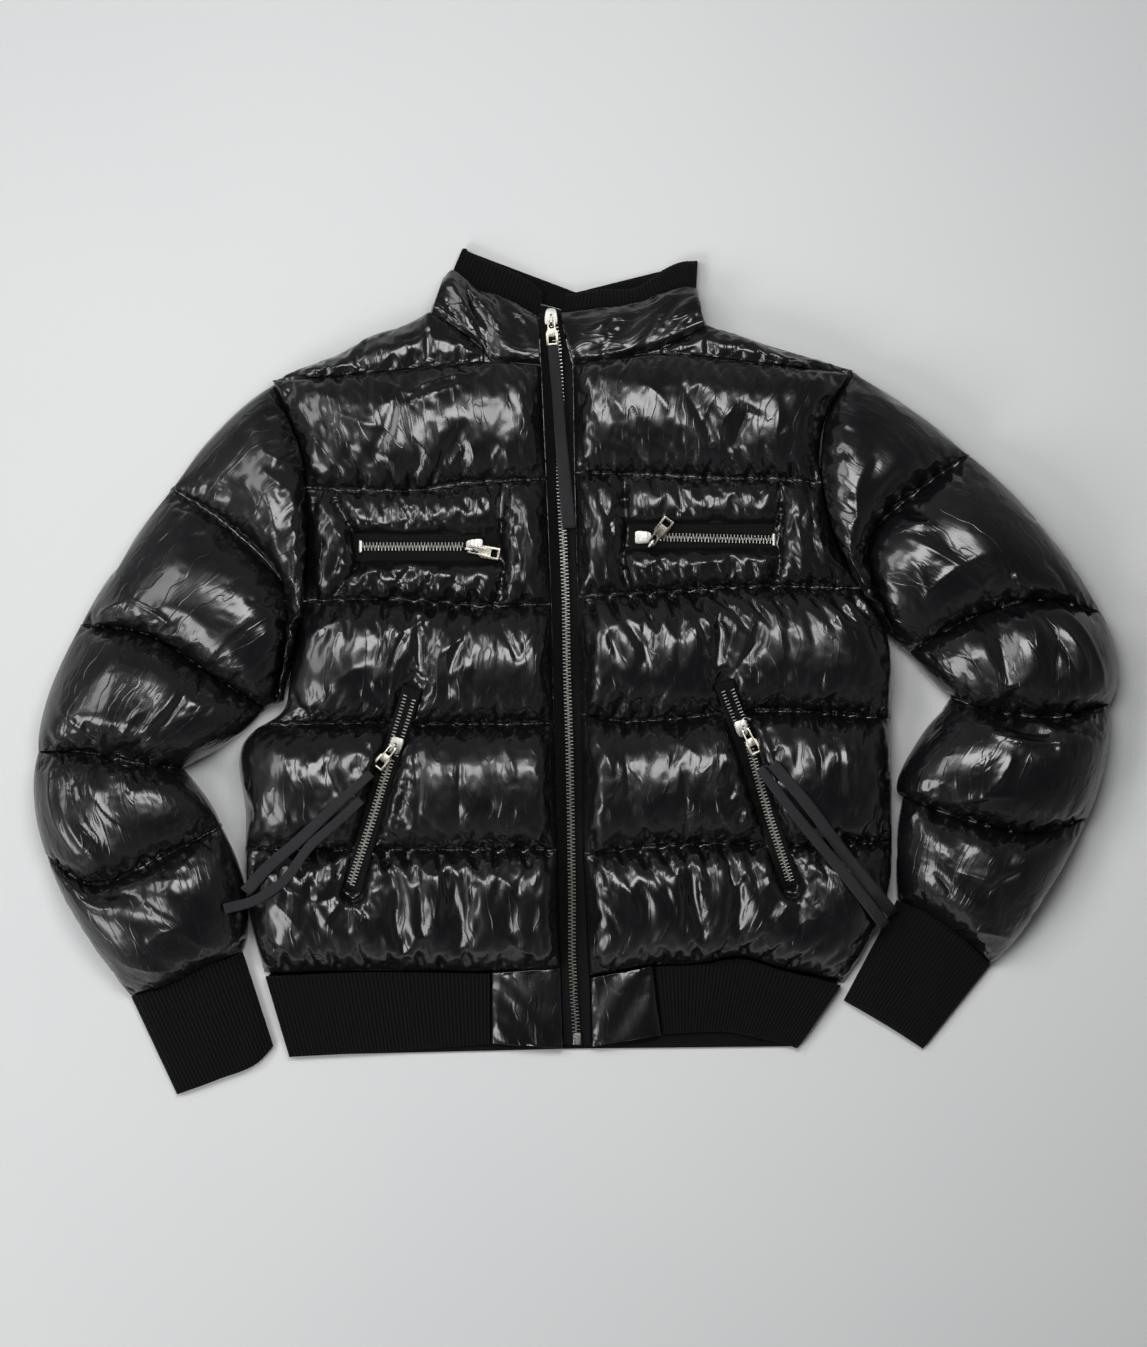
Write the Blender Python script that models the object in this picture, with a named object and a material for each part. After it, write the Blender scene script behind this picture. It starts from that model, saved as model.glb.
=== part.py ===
"""A cropped puffer jacket, zipped up and laid flat on its back, as separate sewn pieces.

The frame is in metres with +Z up. The floor is z = 0, +Y runs from the hem to the collar and
the origin is the middle of the whole outline on the floor. Sizes in the tables are millimetres.
Each cloth piece is a closed wall: an outer sheet of points with its quilting, ribs or folds
raised in it, over a plain inner sheet. The back lies on the floor, the fronts lie on the back,
and each sleeve is one tube with a thin slit inside.
"""

import math

import bmesh
import bpy
import numpy as np
from mathutils import Vector
from mathutils.bvhtree import BVHTree

MM = 0.001
SEAM_GAP = 0.3  # between two sewn pieces
CURVED_GAP = 0.9  # where the two edges are sampled at different places along a curve

# Levels above the floor
LAYER_Z = 18.0  # the level where the fronts lie on the back
HEM_LAYER_Z = 4.5  # the same level at the hem seam, where the padding runs out
TAPER_Y = -155.5  # the lowest quilt line, below which that level falls
HEM_Y = -266
STITCH_Z = 31.0  # a quilt line on the front
SIDE_Z = 21.0  # the fronts' edge at the side seam
ARMHOLE_Z = 34.0
ZIP_EDGE_Z = 31.0
NECK_Z = 37.0
BACK_GROOVE = 5.0  # how far the back's quilt lines stand off the floor
BACK_ROUND = 9.0  # how far in from its sides the back's underside comes down to the floor
HEM_PAD = 9.0  # what is left of the padding at the hem seam
CUFF_LAYER_Z = 6.0

RIB_PITCH = 3.6
RIB_RISE = 0.45

COLOURS = {  # name: sRGB colour, metallic, roughness
    "coated nylon": ((0.035, 0.036, 0.042), 0.0, 0.22),
    "rib knit": ((0.07, 0.07, 0.075), 0.0, 0.95),
    "zip tape": ((0.05, 0.05, 0.055), 0.0, 0.85),
    "nickel": ((0.72, 0.71, 0.68), 1.0, 0.25),
    "grosgrain": ((0.22, 0.22, 0.23), 0.0, 0.9),
}

# Quilt lines of each front, from the zip to the side, and how high the baffle below one rises
FRONT_LINES = {  # line: left front, right front
    "yoke seam": (
        [(-31, 269.5), (-70.5, 273), (-125, 269), (-185, 262.5), (-263, 256.5)],
        [(-2.5, 269), (21, 273), (48.5, 278.5), (120.5, 277), (146, 274), (197, 268), (243, 262.5)],
    ),
    "chest line": (
        [(-26.5, 170.5), (-68, 168.5), (-106.5, 165), (-131, 160.5), (-183, 159.5), (-237.5, 163)],
        [(-1, 176.5), (73, 173), (130, 170.5), (169, 170.5), (214.5, 167)],
    ),
    "pocket line": (
        [(-22, 60.5), (-72, 58.5), (-144.5, 64), (-216.5, 64), (-240, 63)],
        [(2, 66.5), (22, 68), (50, 70), (102, 72.5), (130, 75), (246.5, 74.5)],
    ),
    "waist line": (
        [(-20, -44.5), (-119.5, -45.5), (-171.5, -44.5), (-276.5, -45.5)],
        [(5.5, -36.5), (38.5, -42), (82, -41), (124, -36.5), (163.5, -34), (278, -40)],
    ),
    "low line": (
        [(-16.5, -155.5), (-134, -155.5), (-223.5, -156), (-292, -154.5)],
        [(7, -159), (62.5, -153.5), (133, -150), (204, -152), (279, -149)],
    ),
    "hem seam": (
        [(-14, -260), (-77.5, -263.5), (-184, -262.5), (-277, -266)],
        [(12.5, -268), (69.5, -257.5), (110, -255.5), (145, -250.5), (180.5, -260), (237.5, -274)],
    ),
}
BAFFLES = (  # above, below, crown z, crown z of the two pads over and under a chest zip
    ("yoke seam", "chest line", 53, None),
    ("chest line", "pocket line", 51, 47),
    ("pocket line", "waist line", 63, None),
    ("waist line", "low line", 66, None),
    ("low line", "hem seam", 56, None),
)
ARMHOLES = (  # from the shoulder to the underarm: left, right
    [(-266.5, 254), (-243, 197.5), (-236.5, 112), (-254.5, -24)],
    [(244.5, 265.5), (218, 218), (222.5, 134), (272, 37.5)],
)
SIDES = (  # from the underarm to the hem: left, right
    [
        (-254.5, -24), (-257, -31), (-268.5, -42), (-281.5, -49), (-290.5, -57.5),
        (-291.5, -130.5), (-292, -154.5), (-291.5, -189.5), (-287, -225), (-277, -266),
    ],
    [
        (272, 37.5), (274.5, 28.5), (278, -40), (279, -111.5),
        (279, -149), (276.5, -196.5), (260.5, -236.5), (238.5, -274),
    ],
)
SHOULDERS = (  # the outline from the armhole to the neck: left, right
    [(-263, 257.5), (-252.5, 264.5), (-214, 278.5), (-188.5, 292.5), (-151.5, 306.5), (-128.5, 318)],
    [(243, 267), (205, 278.5), (157.5, 292.5), (131, 301.5), (115.5, 306)],
)
COLLAR_BASES = (  # along the neck seam, from the shoulder to the zip: left, right
    [(-128.5, 318), (-104, 301.5), (-82.5, 285.5), (-74, 273), (-53.5, 272.5), (-31, 270.5)],
    [(115.5, 306), (96, 295), (74, 286.5), (48.5, 278.5), (21, 274), (-2.5, 269.5)],
)
COLLAR_TOPS = (  # the seam between the collar and its ribbed band: left, right
    [(-119, 346.5), (-109, 356), (-97, 348), (-86, 339), (-74, 335), (-53, 327), (-33.5, 314.5)],
    [(109, 327), (106.5, 339), (89, 340), (75.5, 335.5), (58, 328), (31, 323.5), (-14, 318)],
)
RIB_TOPS = (  # the free edge of that band: left, right
    [(-101, 376), (-78.5, 365.5), (-57, 356), (-40.5, 347), (-29, 336.5)],
    [(108, 365), (93.5, 364), (80, 358.5), (67, 350), (54.5, 342), (22, 340), (-9, 335.5)],
)

# Share of the way from the zip to the side of each column of points
COLUMNS = (0, 0.03, 0.1, 0.2, 0.31, 0.41, 0.455, 0.5, 0.545, 0.6, 0.7, 0.79, 0.88, 0.94, 0.98, 1)
POCKET_BOX = (0.2, 0.88)  # the columns at the sides of the chest pocket's panel
POCKET_COLUMNS = (0.455, 0.5, 0.545)  # the edges and the middle of the hand pocket's zip
PLAIN_ROWS = (0, 0.08, 0.26, 0.5, 0.74, 0.92)
CHEST_ROWS = (0, 0.07, 0.2, 0.33, 0.39, 0.525, 0.66, 0.72, 0.85, 0.94)
ZIP_ROWS = (0.39, 0.66)  # the edges of the chest pocket's zip
CHEST_ZIP_Z = 37.0
HAND_ZIP_Z = 41.0
HAND_ZIPS = (  # y, and the share of the way to the side where the hand pocket's zip runs
    [(60.5, 0.5), (-14.5, 0.515), (-44.5, 0.51), (-155.5, 0.61), (-191.5, 0.65), (-262, 0.62)],
    [(68, 0.46), (-8.5, 0.46), (-36.5, 0.49), (-153.5, 0.628), (-188, 0.672), (-262, 0.65)],
)
HAND_ZIP_YS = (-8.5, -193)

# Sleeves: a row for each seam (0) or crown (1), with four points across from the outer edge
SLEEVES = (
    [  # kind, outer edge, second point, third point, inner edge, crown z
        (0, (-266.5, 254), (-243, 197.5), (-237.5, 112), (-258, -25), 34),
        (1, (-308, 222), (-274.5, 171), (-244, 90), (-261.5, -27), 66),
        (0, (-357.5, 163), (-308, 130.5), (-256, 74.5), (-265, -27.5), 31),
        (1, (-403, 99), (-346.5, 64), (-281.5, 18), (-269.5, -29.5), 72),
        (0, (-438, 42), (-382, 35.5), (-318.5, -3), (-274.5, -33), 31),
        (1, (-466.5, -24), (-414.5, -22.5), (-355.5, -43.5), (-297.5, -55), 70),
        (0, (-475, -70), (-433, -70), (-389, -79), (-347.5, -85), 31),
        (1, (-478, -112), (-432, -117.5), (-375, -116.5), (-324.5, -113), 64),
        (0, (-468, -160.5), (-427.5, -186), (-370.5, -165), (-312.5, -135), 31),
        (1, (-442, -218), (-401.5, -232), (-343, -211), (-292, -196.5), 56),
        (0, (-395, -286.5), (-362.5, -277), (-326.5, -258.5), (-295.5, -247.5), 15),
    ],
    [
        (0, (245, 265.5), (219, 218), (223.5, 134), (272, 37.5), 34),
        (1, (295.5, 233), (257, 187), (241, 112), (277, 33), 66),
        (0, (347.5, 192.5), (304.5, 163), (257, 115), (281.5, 28.5), 31),
        (1, (412, 129), (354, 102.5), (295.5, 69), (287, 23.5), 70),
        (0, (464, 52.5), (408.5, 64), (345, 47), (294, 17), 31),
        (1, (478, 9), (426, 11), (366, 4), (315, -6.5), 66),
        (0, (471.5, -27.5), (422.5, -39), (375, -35), (331, -22.5), 31),
        (1, (467.5, -75), (408.5, -82.5), (346.5, -80.5), (289.5, -82.5), 68),
        (0, (452.5, -128), (399.5, -141), (342.5, -129), (288, -109.5), 31),
        (1, (408.5, -210), (368, -193), (324, -172), (283.5, -156), 60),
        (0, (368, -258.5), (345, -236.5), (315, -213.5), (285, -201), 15),
    ],
)
SLEEVE_STEPS = (0, 0.08, 0.27, 0.5, 0.73, 0.92)
CUFF_ENDS = (  # the free end of each cuff, from the outer edge to the inner: left, right
    [(-354, -374.5), (-317.5, -361), (-281.5, -345.5), (-268.5, -331.5)],
    [(308, -334), (283.5, -318), (258.5, -303), (237.5, -291)],
)
CUFF_Z = ((14.0, 9.0), (6.0, 4.5))  # outer height at the seam and the end, then the slit's level

HEM_FRONTS = (  # seam and free edge of the band's front parts, from the tab to the fold
    ([(-76.5, -267), (-184, -266), (-275.5, -269.5)], [(-76.5, -329.5), (-171.5, -336.5), (-254.5, -341)]),
    (
        [(70.5, -261), (110, -259), (145, -254), (180.5, -263.5), (235, -277.5)],
        [(77.5, -321), (110, -319), (134, -319), (169, -326), (197, -333)],
    ),
)
TABS = (  # corners: seam at the zip, seam at the band, free edge at the band, free edge at the zip
    ((-13, -262), (-75, -266), (-75, -328.5), (-11.5, -333)),
    ((13, -270.5), (68.5, -260), (75.5, -321), (14, -331.5)),
)

ZIP_LINE = (  # the main zip's teeth, from the collar to the hem
    (-20, 312), (-16.5, 288), (-15, 266), (-14, 244), (-14, 168.5), (-11.5, 121), (-9, 64),
    (-8, -0.5), (-6, -59.5), (-4.5, -130.5), (-3.5, -201), (-3.5, -248.5), (-2, -284), (1, -332),
)
FOLDS = (  # the main creases in the padded cloth: start, end, half width, depth
    # under the yoke
    ((98.5, 250.5), (130, 185), 11, 6), ((130, 185), (155, 236.5), 11, 5),
    ((17.5, 213.5), (81, 180), 9, 3), ((-155, 240), (-179.5, 176.5), 10, 4),
    ((-93.5, 222), (-119.5, 174.5), 9, 4), ((-216.5, 204.5), (-162, 164), 11, 5),
    # between the pocket line and the waist line
    ((-168, 53), (-179.5, -15.5), 10, 5), ((-134, 53), (-137.5, -6.5), 10, 6),
    ((-93.5, 53), (-114.5, -13.5), 9, 4), ((56.5, 60.5), (67, -15.5), 10, 5),
    ((123, 60.5), (126.5, -3), 12, 7), ((162, 55), (151.5, 4), 10, 5),
    # under the waist line
    ((-227, -59.5), (-197, -145.5), 12, 4), ((-93.5, -55), (-67, -147.5), 12, 4),
    ((56.5, -50.5), (46, -149), 12, 4), ((229, -50.5), (239.5, -140.5), 12, 4),
    # over the hem
    ((-162, -167), (-151.5, -251), 10, 5), ((-109, -165), (-100.5, -251), 10, 6),
    ((-53.5, -165), (-60, -253), 10, 4), ((56.5, -167), (61.5, -246), 10, 4),
    ((100.5, -165), (112.5, -242.5), 11, 7), ((146, -163), (139, -242.5), 10, 5),
    # left sleeve
    ((-454, -80.5), (-350, -86), 12, 6), ((-445.5, -55), (-357.5, -77), 12, 5),
    ((-410, -182.5), (-331, -226.5), 12, 6), ((-339.5, 178), (-260.5, 134), 12, 5),
    ((-383.5, 64), (-295.5, 15.5), 12, 4),
    # right sleeve
    ((334.5, -15.5), (426, -63), 13, 6), ((360, 64), (382, -15.5), 12, 6),
    ((422.5, 55), (413.5, -29.5), 12, 5), ((285, 152), (360, 76), 12, 5),
    ((267.5, 222), (251.5, 152), 12, 5), ((307, -121), (360, -182.5), 12, 5),
    ((373, -147.5), (382, -226.5), 12, 5),
)
TEETH_WIDTH = 7.0
TAPE_THICK = 1.5
TEETH_THICK = 2.6
POCKET_TAPE_THICK = 1.2
POCKET_TEETH_THICK = 2.2
HAND_TAPE_WIDTH = 17.0
RIBBON_THICK = 1.0


# ---------------------------------------------------------------- meshes
def material(name):
    made = bpy.data.materials.get(name)
    if made:
        return made
    colour, metallic, roughness = COLOURS[name]
    made = bpy.data.materials.new(name)
    made.use_nodes = True
    shader = made.node_tree.nodes["Principled BSDF"]
    shader.inputs["Base Color"].default_value = (*(c**2.2 for c in colour), 1)
    shader.inputs["Metallic"].default_value = metallic
    shader.inputs["Roughness"].default_value = roughness
    made.diffuse_color = (*colour, 1)
    return made


def put(mesh, name, finish):
    """Adds the mesh as a named object with its material, shaded smooth up to 40 degrees."""
    made = bpy.data.objects.new(name, mesh)
    bpy.data.collections["puffer jacket"].objects.link(made)
    mesh.materials.clear()
    mesh.materials.append(material(finish))
    mesh.shade_smooth()
    mesh.set_sharp_from_angle(angle=math.radians(40))
    return made


def cells(rows, columns, start, wrap):
    """Triangles of a grid of points whose numbers begin at start."""
    across = columns if wrap else columns - 1
    i, j = np.meshgrid(np.arange(rows - 1), np.arange(across), indexing="ij")
    a = start + i * columns + j
    b = start + i * columns + (j + 1) % columns
    c, d = b + columns, a + columns
    return np.concatenate([np.stack([a, b, c], -1), np.stack([a, c, d], -1)]).reshape(-1, 3)


def band_between(first, second, wrap):
    """Triangles that join two rows of point numbers, one to one."""
    if wrap:
        first, second = np.append(first, first[0]), np.append(second, second[0])
    a, b, c, d = first[:-1], first[1:], second[1:], second[:-1]
    return np.concatenate([np.stack([a, b, c], 1), np.stack([a, c, d], 1)])


SHEETS = []  # the outer sheets made so far, for what is laid on them


def wall(name, finish, outer, inner, wrap=False):
    """A closed wall between two grids of points in mm; with wrap the grids' columns close on themselves."""
    rows, columns = outer.shape[:2]
    count = rows * columns
    number = np.arange(count).reshape(rows, columns)
    faces = [cells(rows, columns, 0, wrap), cells(rows, columns, count, wrap)[:, ::-1]]
    faces.append(band_between(number[0] + count, number[0], wrap))
    faces.append(band_between(number[-1], number[-1] + count, wrap))
    if not wrap:
        faces.append(band_between(number[:, 0], number[:, 0] + count, False))
        faces.append(band_between(number[:, -1] + count, number[:, -1], False))
    points = np.concatenate([outer.reshape(-1, 3), inner.reshape(-1, 3)])
    faces = np.concatenate(faces)
    if np.linalg.det(points[faces] - points.mean(0)).sum() < 0:
        faces = faces[:, ::-1]
    SHEETS.append((points, faces))
    mesh = bpy.data.meshes.new(name)
    mesh.from_pydata((points * MM).tolist(), [], faces.tolist())
    return put(mesh, name, finish)


def along(points, share):
    """Points at the given shares of a polyline's length, eased by a smooth curve through its corners."""
    points = np.array(points, float)
    step = np.linalg.norm(np.diff(points, axis=0), axis=1)
    at = np.append(0, np.cumsum(step)) / step.sum()
    slope = np.gradient(points, at, axis=0)
    k = np.clip(np.searchsorted(at, share, side="right") - 1, 0, len(at) - 2)
    width = (at[k + 1] - at[k])[..., None]
    t = ((share - at[k]) / (at[k + 1] - at[k]))[..., None]
    return (
        (2 * t**3 - 3 * t**2 + 1) * points[k]
        + (t**3 - 2 * t**2 + t) * width * slope[k]
        + (3 * t**2 - 2 * t**3) * points[k + 1]
        + (t**3 - t**2) * width * slope[k + 1]
    )


def crown(share, power=2.4):
    """The rise of a stuffed channel across its width: 0 at both stitched edges and 1 in the middle."""
    return np.clip(1 - np.abs(2 * share - 1) ** power, 0, 1) ** 0.55


def roll(distance, reach):
    """A quarter-round edge: 0 at the edge, 1 at reach from it."""
    return np.sqrt(1 - (1 - np.clip(distance / reach, 0, 1)) ** 2)


def layer_z(y):
    """The level at which fronts and back meet: flat, then falling from the low quilt line to the hem."""
    return LAYER_Z - np.clip(TAPER_Y - y, 0, None) * (LAYER_Z - HEM_LAYER_Z) / (TAPER_Y - HEM_Y)


def fold_drop(plan):
    """How far the main creases press the cloth down at places in plan, in mm.

    Each crease is a straight trough: full depth in its middle, none at its ends, bell-shaped across.
    """
    drop = np.zeros(plan.shape[:-1])
    for start, end, half_width, depth in FOLDS:
        start, end = np.array(start, float), np.array(end, float)
        line = end - start
        share = np.clip(((plan - start) @ line) / (line @ line), 0, 1)
        across = np.linalg.norm(plan - (start + share[..., None] * line), axis=-1)
        drop += depth * np.sin(np.pi * np.clip(share, 0.04, 0.96)) * np.exp(-((across / half_width) ** 2))
    return drop


# ---------------------------------------------------------------- fronts
def front_plan(side):
    """The front's points in plan, rows from the yoke seam down, and for each row its baffle and share."""
    shares = np.array(COLUMNS)
    armhole = along(ARMHOLES[side], np.linspace(0, 1, 60))
    edge = np.concatenate([armhole, along(SIDES[side], np.linspace(0.01, 1, 60))])
    rows, kinds = [], []
    for k, (above, below, _, pads) in enumerate(BAFFLES):
        steps = CHEST_ROWS if pads else PLAIN_ROWS
        if k == len(BAFFLES) - 1:
            steps = (*steps, 1)
        for t in steps:
            upper, lower = along(FRONT_LINES[above][side], shares), along(FRONT_LINES[below][side], shares)
            rows.append(upper * (1 - t) + lower * t)
            kinds.append((k, t))
    plan = np.array(rows)
    out = 1 if side else -1
    for i, row in enumerate(plan):
        # each row is stretched to the edge that the armhole and the side seam give at its height
        reach = np.interp(-row[-1, 1], -edge[:, 1], edge[:, 0]) - out * CURVED_GAP
        row[:, 0] = row[0, 0] + (row[:, 0] - row[0, 0]) * (reach - row[0, 0]) / (row[-1, 0] - row[0, 0])
        ys, centres = np.array(HAND_ZIPS[side]).T
        centre = np.interp(-row[:, 1].mean(), -ys, centres)
        lean = np.interp(shares, [0, 0.5, 1], [0, centre, 1])
        plan[i] = np.stack([np.interp(lean, shares, row[:, c]) for c in (0, 1)], 1)
    return plan, kinds


def front_heights(plan, kinds):
    """The outer height of each point, worked out from its place in its baffle and across the front."""
    shares = np.array(COLUMNS)
    boxed = (shares > POCKET_BOX[0]) & (shares < POCKET_BOX[1])
    at_box = np.isclose(shares, POCKET_BOX[0]) | np.isclose(shares, POCKET_BOX[1])
    at_hand = np.isin(shares, POCKET_COLUMNS)
    heights = np.empty(plan.shape[:2])
    for i, (k, t) in enumerate(kinds):
        top, pads = BAFFLES[k][2:]
        base = STITCH_Z + (NECK_Z - STITCH_Z) * max(0, 1 - 3 * t) * (k == 0)
        z = np.full(len(shares), base + (top - STITCH_Z) * crown(t))
        if pads:
            inside = CHEST_ZIP_Z
            if t < ZIP_ROWS[0]:
                inside = max(STITCH_Z + (pads - STITCH_Z) * crown(t / ZIP_ROWS[0]), STITCH_Z)
                inside += (CHEST_ZIP_Z - STITCH_Z) * t / ZIP_ROWS[0] * 0.6
            if t > ZIP_ROWS[1]:
                share = (t - ZIP_ROWS[1]) / (1 - ZIP_ROWS[1])
                inside = STITCH_Z + (pads - STITCH_Z) * crown(share)
                inside += (CHEST_ZIP_Z - STITCH_Z) * (1 - share) * 0.6
            z[boxed] = inside
            z[at_box] = np.minimum(z[at_box], CHEST_ZIP_Z)
        y = plan[i, :, 1].mean()
        if HAND_ZIP_YS[1] < y < HAND_ZIP_YS[0]:
            z[at_hand] = np.clip(z[at_hand], None, HAND_ZIP_Z)
        zip_side, side_seam = plan[i, 0, 0], plan[i, -1, 0]
        x = plan[i, :, 0]
        edge = ARMHOLE_Z if y > ARMHOLES[0][-1][1] + 10 else SIDE_Z
        z = edge + (z - edge) * roll(np.abs(x - side_seam), 55)
        low = ZIP_EDGE_Z
        z = np.minimum(z, low + (np.maximum(z, low) - low) * roll(np.abs(x - zip_side), 22))
        heights[i] = z
    fall = LAYER_Z - layer_z(plan[..., 1])
    hem = layer_z(plan[-1, :, 1]) + HEM_PAD
    heights -= fall
    heights[-1] = np.minimum(heights[-1], hem)
    spare = np.clip((heights - layer_z(plan[..., 1]) - HEM_PAD) / 20, 0, 1)
    spare[:, at_hand] = 0
    return heights - fold_drop(plan) * spare


def make_front(side):
    plan, kinds = front_plan(side)
    outer = np.dstack([plan, front_heights(plan, kinds)])
    inner = outer.copy()
    low_row = kinds.index((len(BAFFLES) - 1, 0))
    inner[low_row, :, 1] = TAPER_Y
    inner[..., 2] = layer_z(inner[..., 1]) + SEAM_GAP
    wall(("front_left", "front_right")[side], "coated nylon", outer, inner)
    return outer


def make_back():
    """The back: one wall whose underside is flat on the floor apart from its quilt lines."""
    share = np.linspace(0.02, 1, 60)
    left, right = (
        np.concatenate([
            np.array(SHOULDERS[side], float)[::-1], along(ARMHOLES[side], share), along(SIDES[side], share)
        ])
        for side in (0, 1)
    )
    lines = [np.mean(FRONT_LINES[name][0], axis=0)[1] for name in ("chest line", "pocket line", "waist line")]
    lines += [TAPER_Y]
    ys = [298, 289, 278.5, 269.5, 262.5, 254]
    ys += [y for line in lines for y in (line + 12, line, line - 12)]
    ys += list(np.linspace(231, -24, 9)) + [-36.5, -49, -61, -112, -191.5, -226.5, -262.5]
    ys = sorted(set(round(y, 1) for y in ys), reverse=True)
    rings_outer, rings_top = [], []
    for y in ys:
        start = np.interp(-y, -left[:, 1], left[:, 0]) + CURVED_GAP
        end = np.interp(-y, -right[:, 1], right[:, 0]) - CURVED_GAP
        lift = BACK_GROOVE if any(abs(y - line) < 1 for line in lines) else 0.0
        level = layer_z(y)
        low = min(9.0, level * 0.5)
        side_low = low + lift * 0.3
        xs = (start, start + BACK_ROUND, 0.0, end - BACK_ROUND, end)
        rings_outer.append([(x, y, z) for x, z in zip(xs, (side_low, lift, lift, lift, side_low))])
        rings_top.append([(x, y, level) for x in xs])
    wall("back", "coated nylon", np.array(rings_top), np.array(rings_outer))


def make_yoke(side, front):
    """The yoke's wing: from its seam on the front up to the shoulder's edge and the collar's seam."""
    out = 1 if side else -1
    seam = front[0]
    neck = abs(COLLAR_BASES[side][3][0])
    keep = (np.abs(seam[:, 0]) > neck + 9) & (np.abs(seam[:, 0]) < abs(seam[-1, 0]) - 1)
    low = np.concatenate([seam[keep], seam[-1:] - np.array([[out * 4.0, 0, 0]])])
    start = np.interp(neck + 9, np.abs(seam[:, 0]), np.arange(len(seam)))
    first = np.array([[np.interp(start, np.arange(len(seam)), seam[:, c]) for c in range(3)]])
    low = np.concatenate([first, low]) + np.array([0, CURVED_GAP, 0])
    base, shoulder = np.array(COLLAR_BASES[side][:4], float), np.array(SHOULDERS[side], float)
    edge = np.concatenate([base[::-1], shoulder[-2::-1]])
    order = np.argsort(np.abs(edge[:, 0]))
    high_y = np.interp(np.abs(low[:, 0]), np.abs(edge[order, 0]), edge[order, 1]) - CURVED_GAP
    high_y = np.maximum(high_y, low[:, 1] + 1.0)
    at_neck = np.abs(low[:, 0]) < abs(SHOULDERS[side][-1][0])
    high_z = np.where(at_neck, 30.0, SIDE_Z)
    steps = np.array([0, 0.3, 0.6, 0.82, 0.95, 1])[:, None]
    rise = crown(steps * 0.5 + 0.5) + 0.12 * np.sin(np.pi * steps)
    outer = np.empty((len(steps), len(low), 3))
    outer[..., 0] = low[:, 0]
    outer[..., 1] = low[:, 1] * (1 - steps) + high_y * steps
    outer[..., 2] = high_z + (np.minimum(low[:, 2], NECK_Z) - high_z) * rise
    inner = outer.copy()
    inner[..., 2] = LAYER_Z + SEAM_GAP
    wall(("yoke_left", "yoke_right")[side], "coated nylon", outer, inner)


# ---------------------------------------------------------------- sleeves and cuffs
UPPER = np.array([0, 0.02, 0.07, 0.14, 0.22, 0.31, 0.41, 0.5, 0.59, 0.69, 0.78, 0.86, 0.93, 0.98, 1])
LOWER = np.array([0.97, 0.9, 0.5, 0.1, 0.03])


def ring(line, top, edge_z, floor_z, slit, squash=0.78):
    """One ring of a sleeve, outer and inner points, over a curve in plan through four points."""
    both = np.concatenate([UPPER, LOWER])
    outer = np.empty((len(both), 3))
    outer[:, :2] = along(line, both)
    rise = crown(UPPER, 2.6)
    outer[: len(UPPER), 2] = edge_z + (top - edge_z) * rise
    outer[len(UPPER) :, 2] = np.where(np.isin(LOWER, (0.97, 0.03)), edge_z * 0.3, 0) + floor_z
    if top > STITCH_Z + 9:
        outer[: len(UPPER), 2] -= fold_drop(outer[: len(UPPER), :2]) * np.clip(2 * rise - 1, 0, 1)
    inner = np.empty_like(outer)
    inner[:, :2] = along(line, 0.5 + (both - 0.5) * squash)
    inner[: len(UPPER), 2] = slit + 1.0 * np.clip(rise * 3, 0, 1)
    inner[len(UPPER) :, 2] = slit - 1.0
    return outer, inner


def make_sleeve(side):
    table = SLEEVES[side]
    outer, inner = [], []
    for k in range(0, len(table) - 2, 2):
        steps = SLEEVE_STEPS + ((1,) if k == len(table) - 3 else ())
        a, b, c = (np.array(row[1:5], float) for row in table[k : k + 3])
        tops = [row[5] for row in table[k : k + 3]]
        for t in steps:
            line = a * (1 - t) * (1 - 2 * t) + b * 4 * t * (1 - t) + c * t * (2 * t - 1)
            base = tops[0] * (1 - t) + tops[2] * t
            top = base + (tops[1] - (tops[0] + tops[2]) / 2) * crown(t)
            last = k == len(table) - 3
            slit = 17.0 + (CUFF_LAYER_Z - 17.0) * t * last
            edge = slit + 1.0 if last else 18.0
            floor = 4.0 * max(0, 1 - 12 * min(t, 1 - t)) * (not last or t < 0.5) * (k + t > 0)
            one = ring(line, top, edge, floor, slit)
            outer.append(one[0])
            inner.append(one[1])
    wall(("sleeve_left", "sleeve_right")[side], "coated nylon", np.array(outer), np.array(inner), wrap=True)


def ribbed(count):
    """Alternate points along a knitted band, half a pitch apart, up on a rib and down between ribs."""
    return np.where(np.arange(count) % 2, RIB_RISE, -RIB_RISE)


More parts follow.
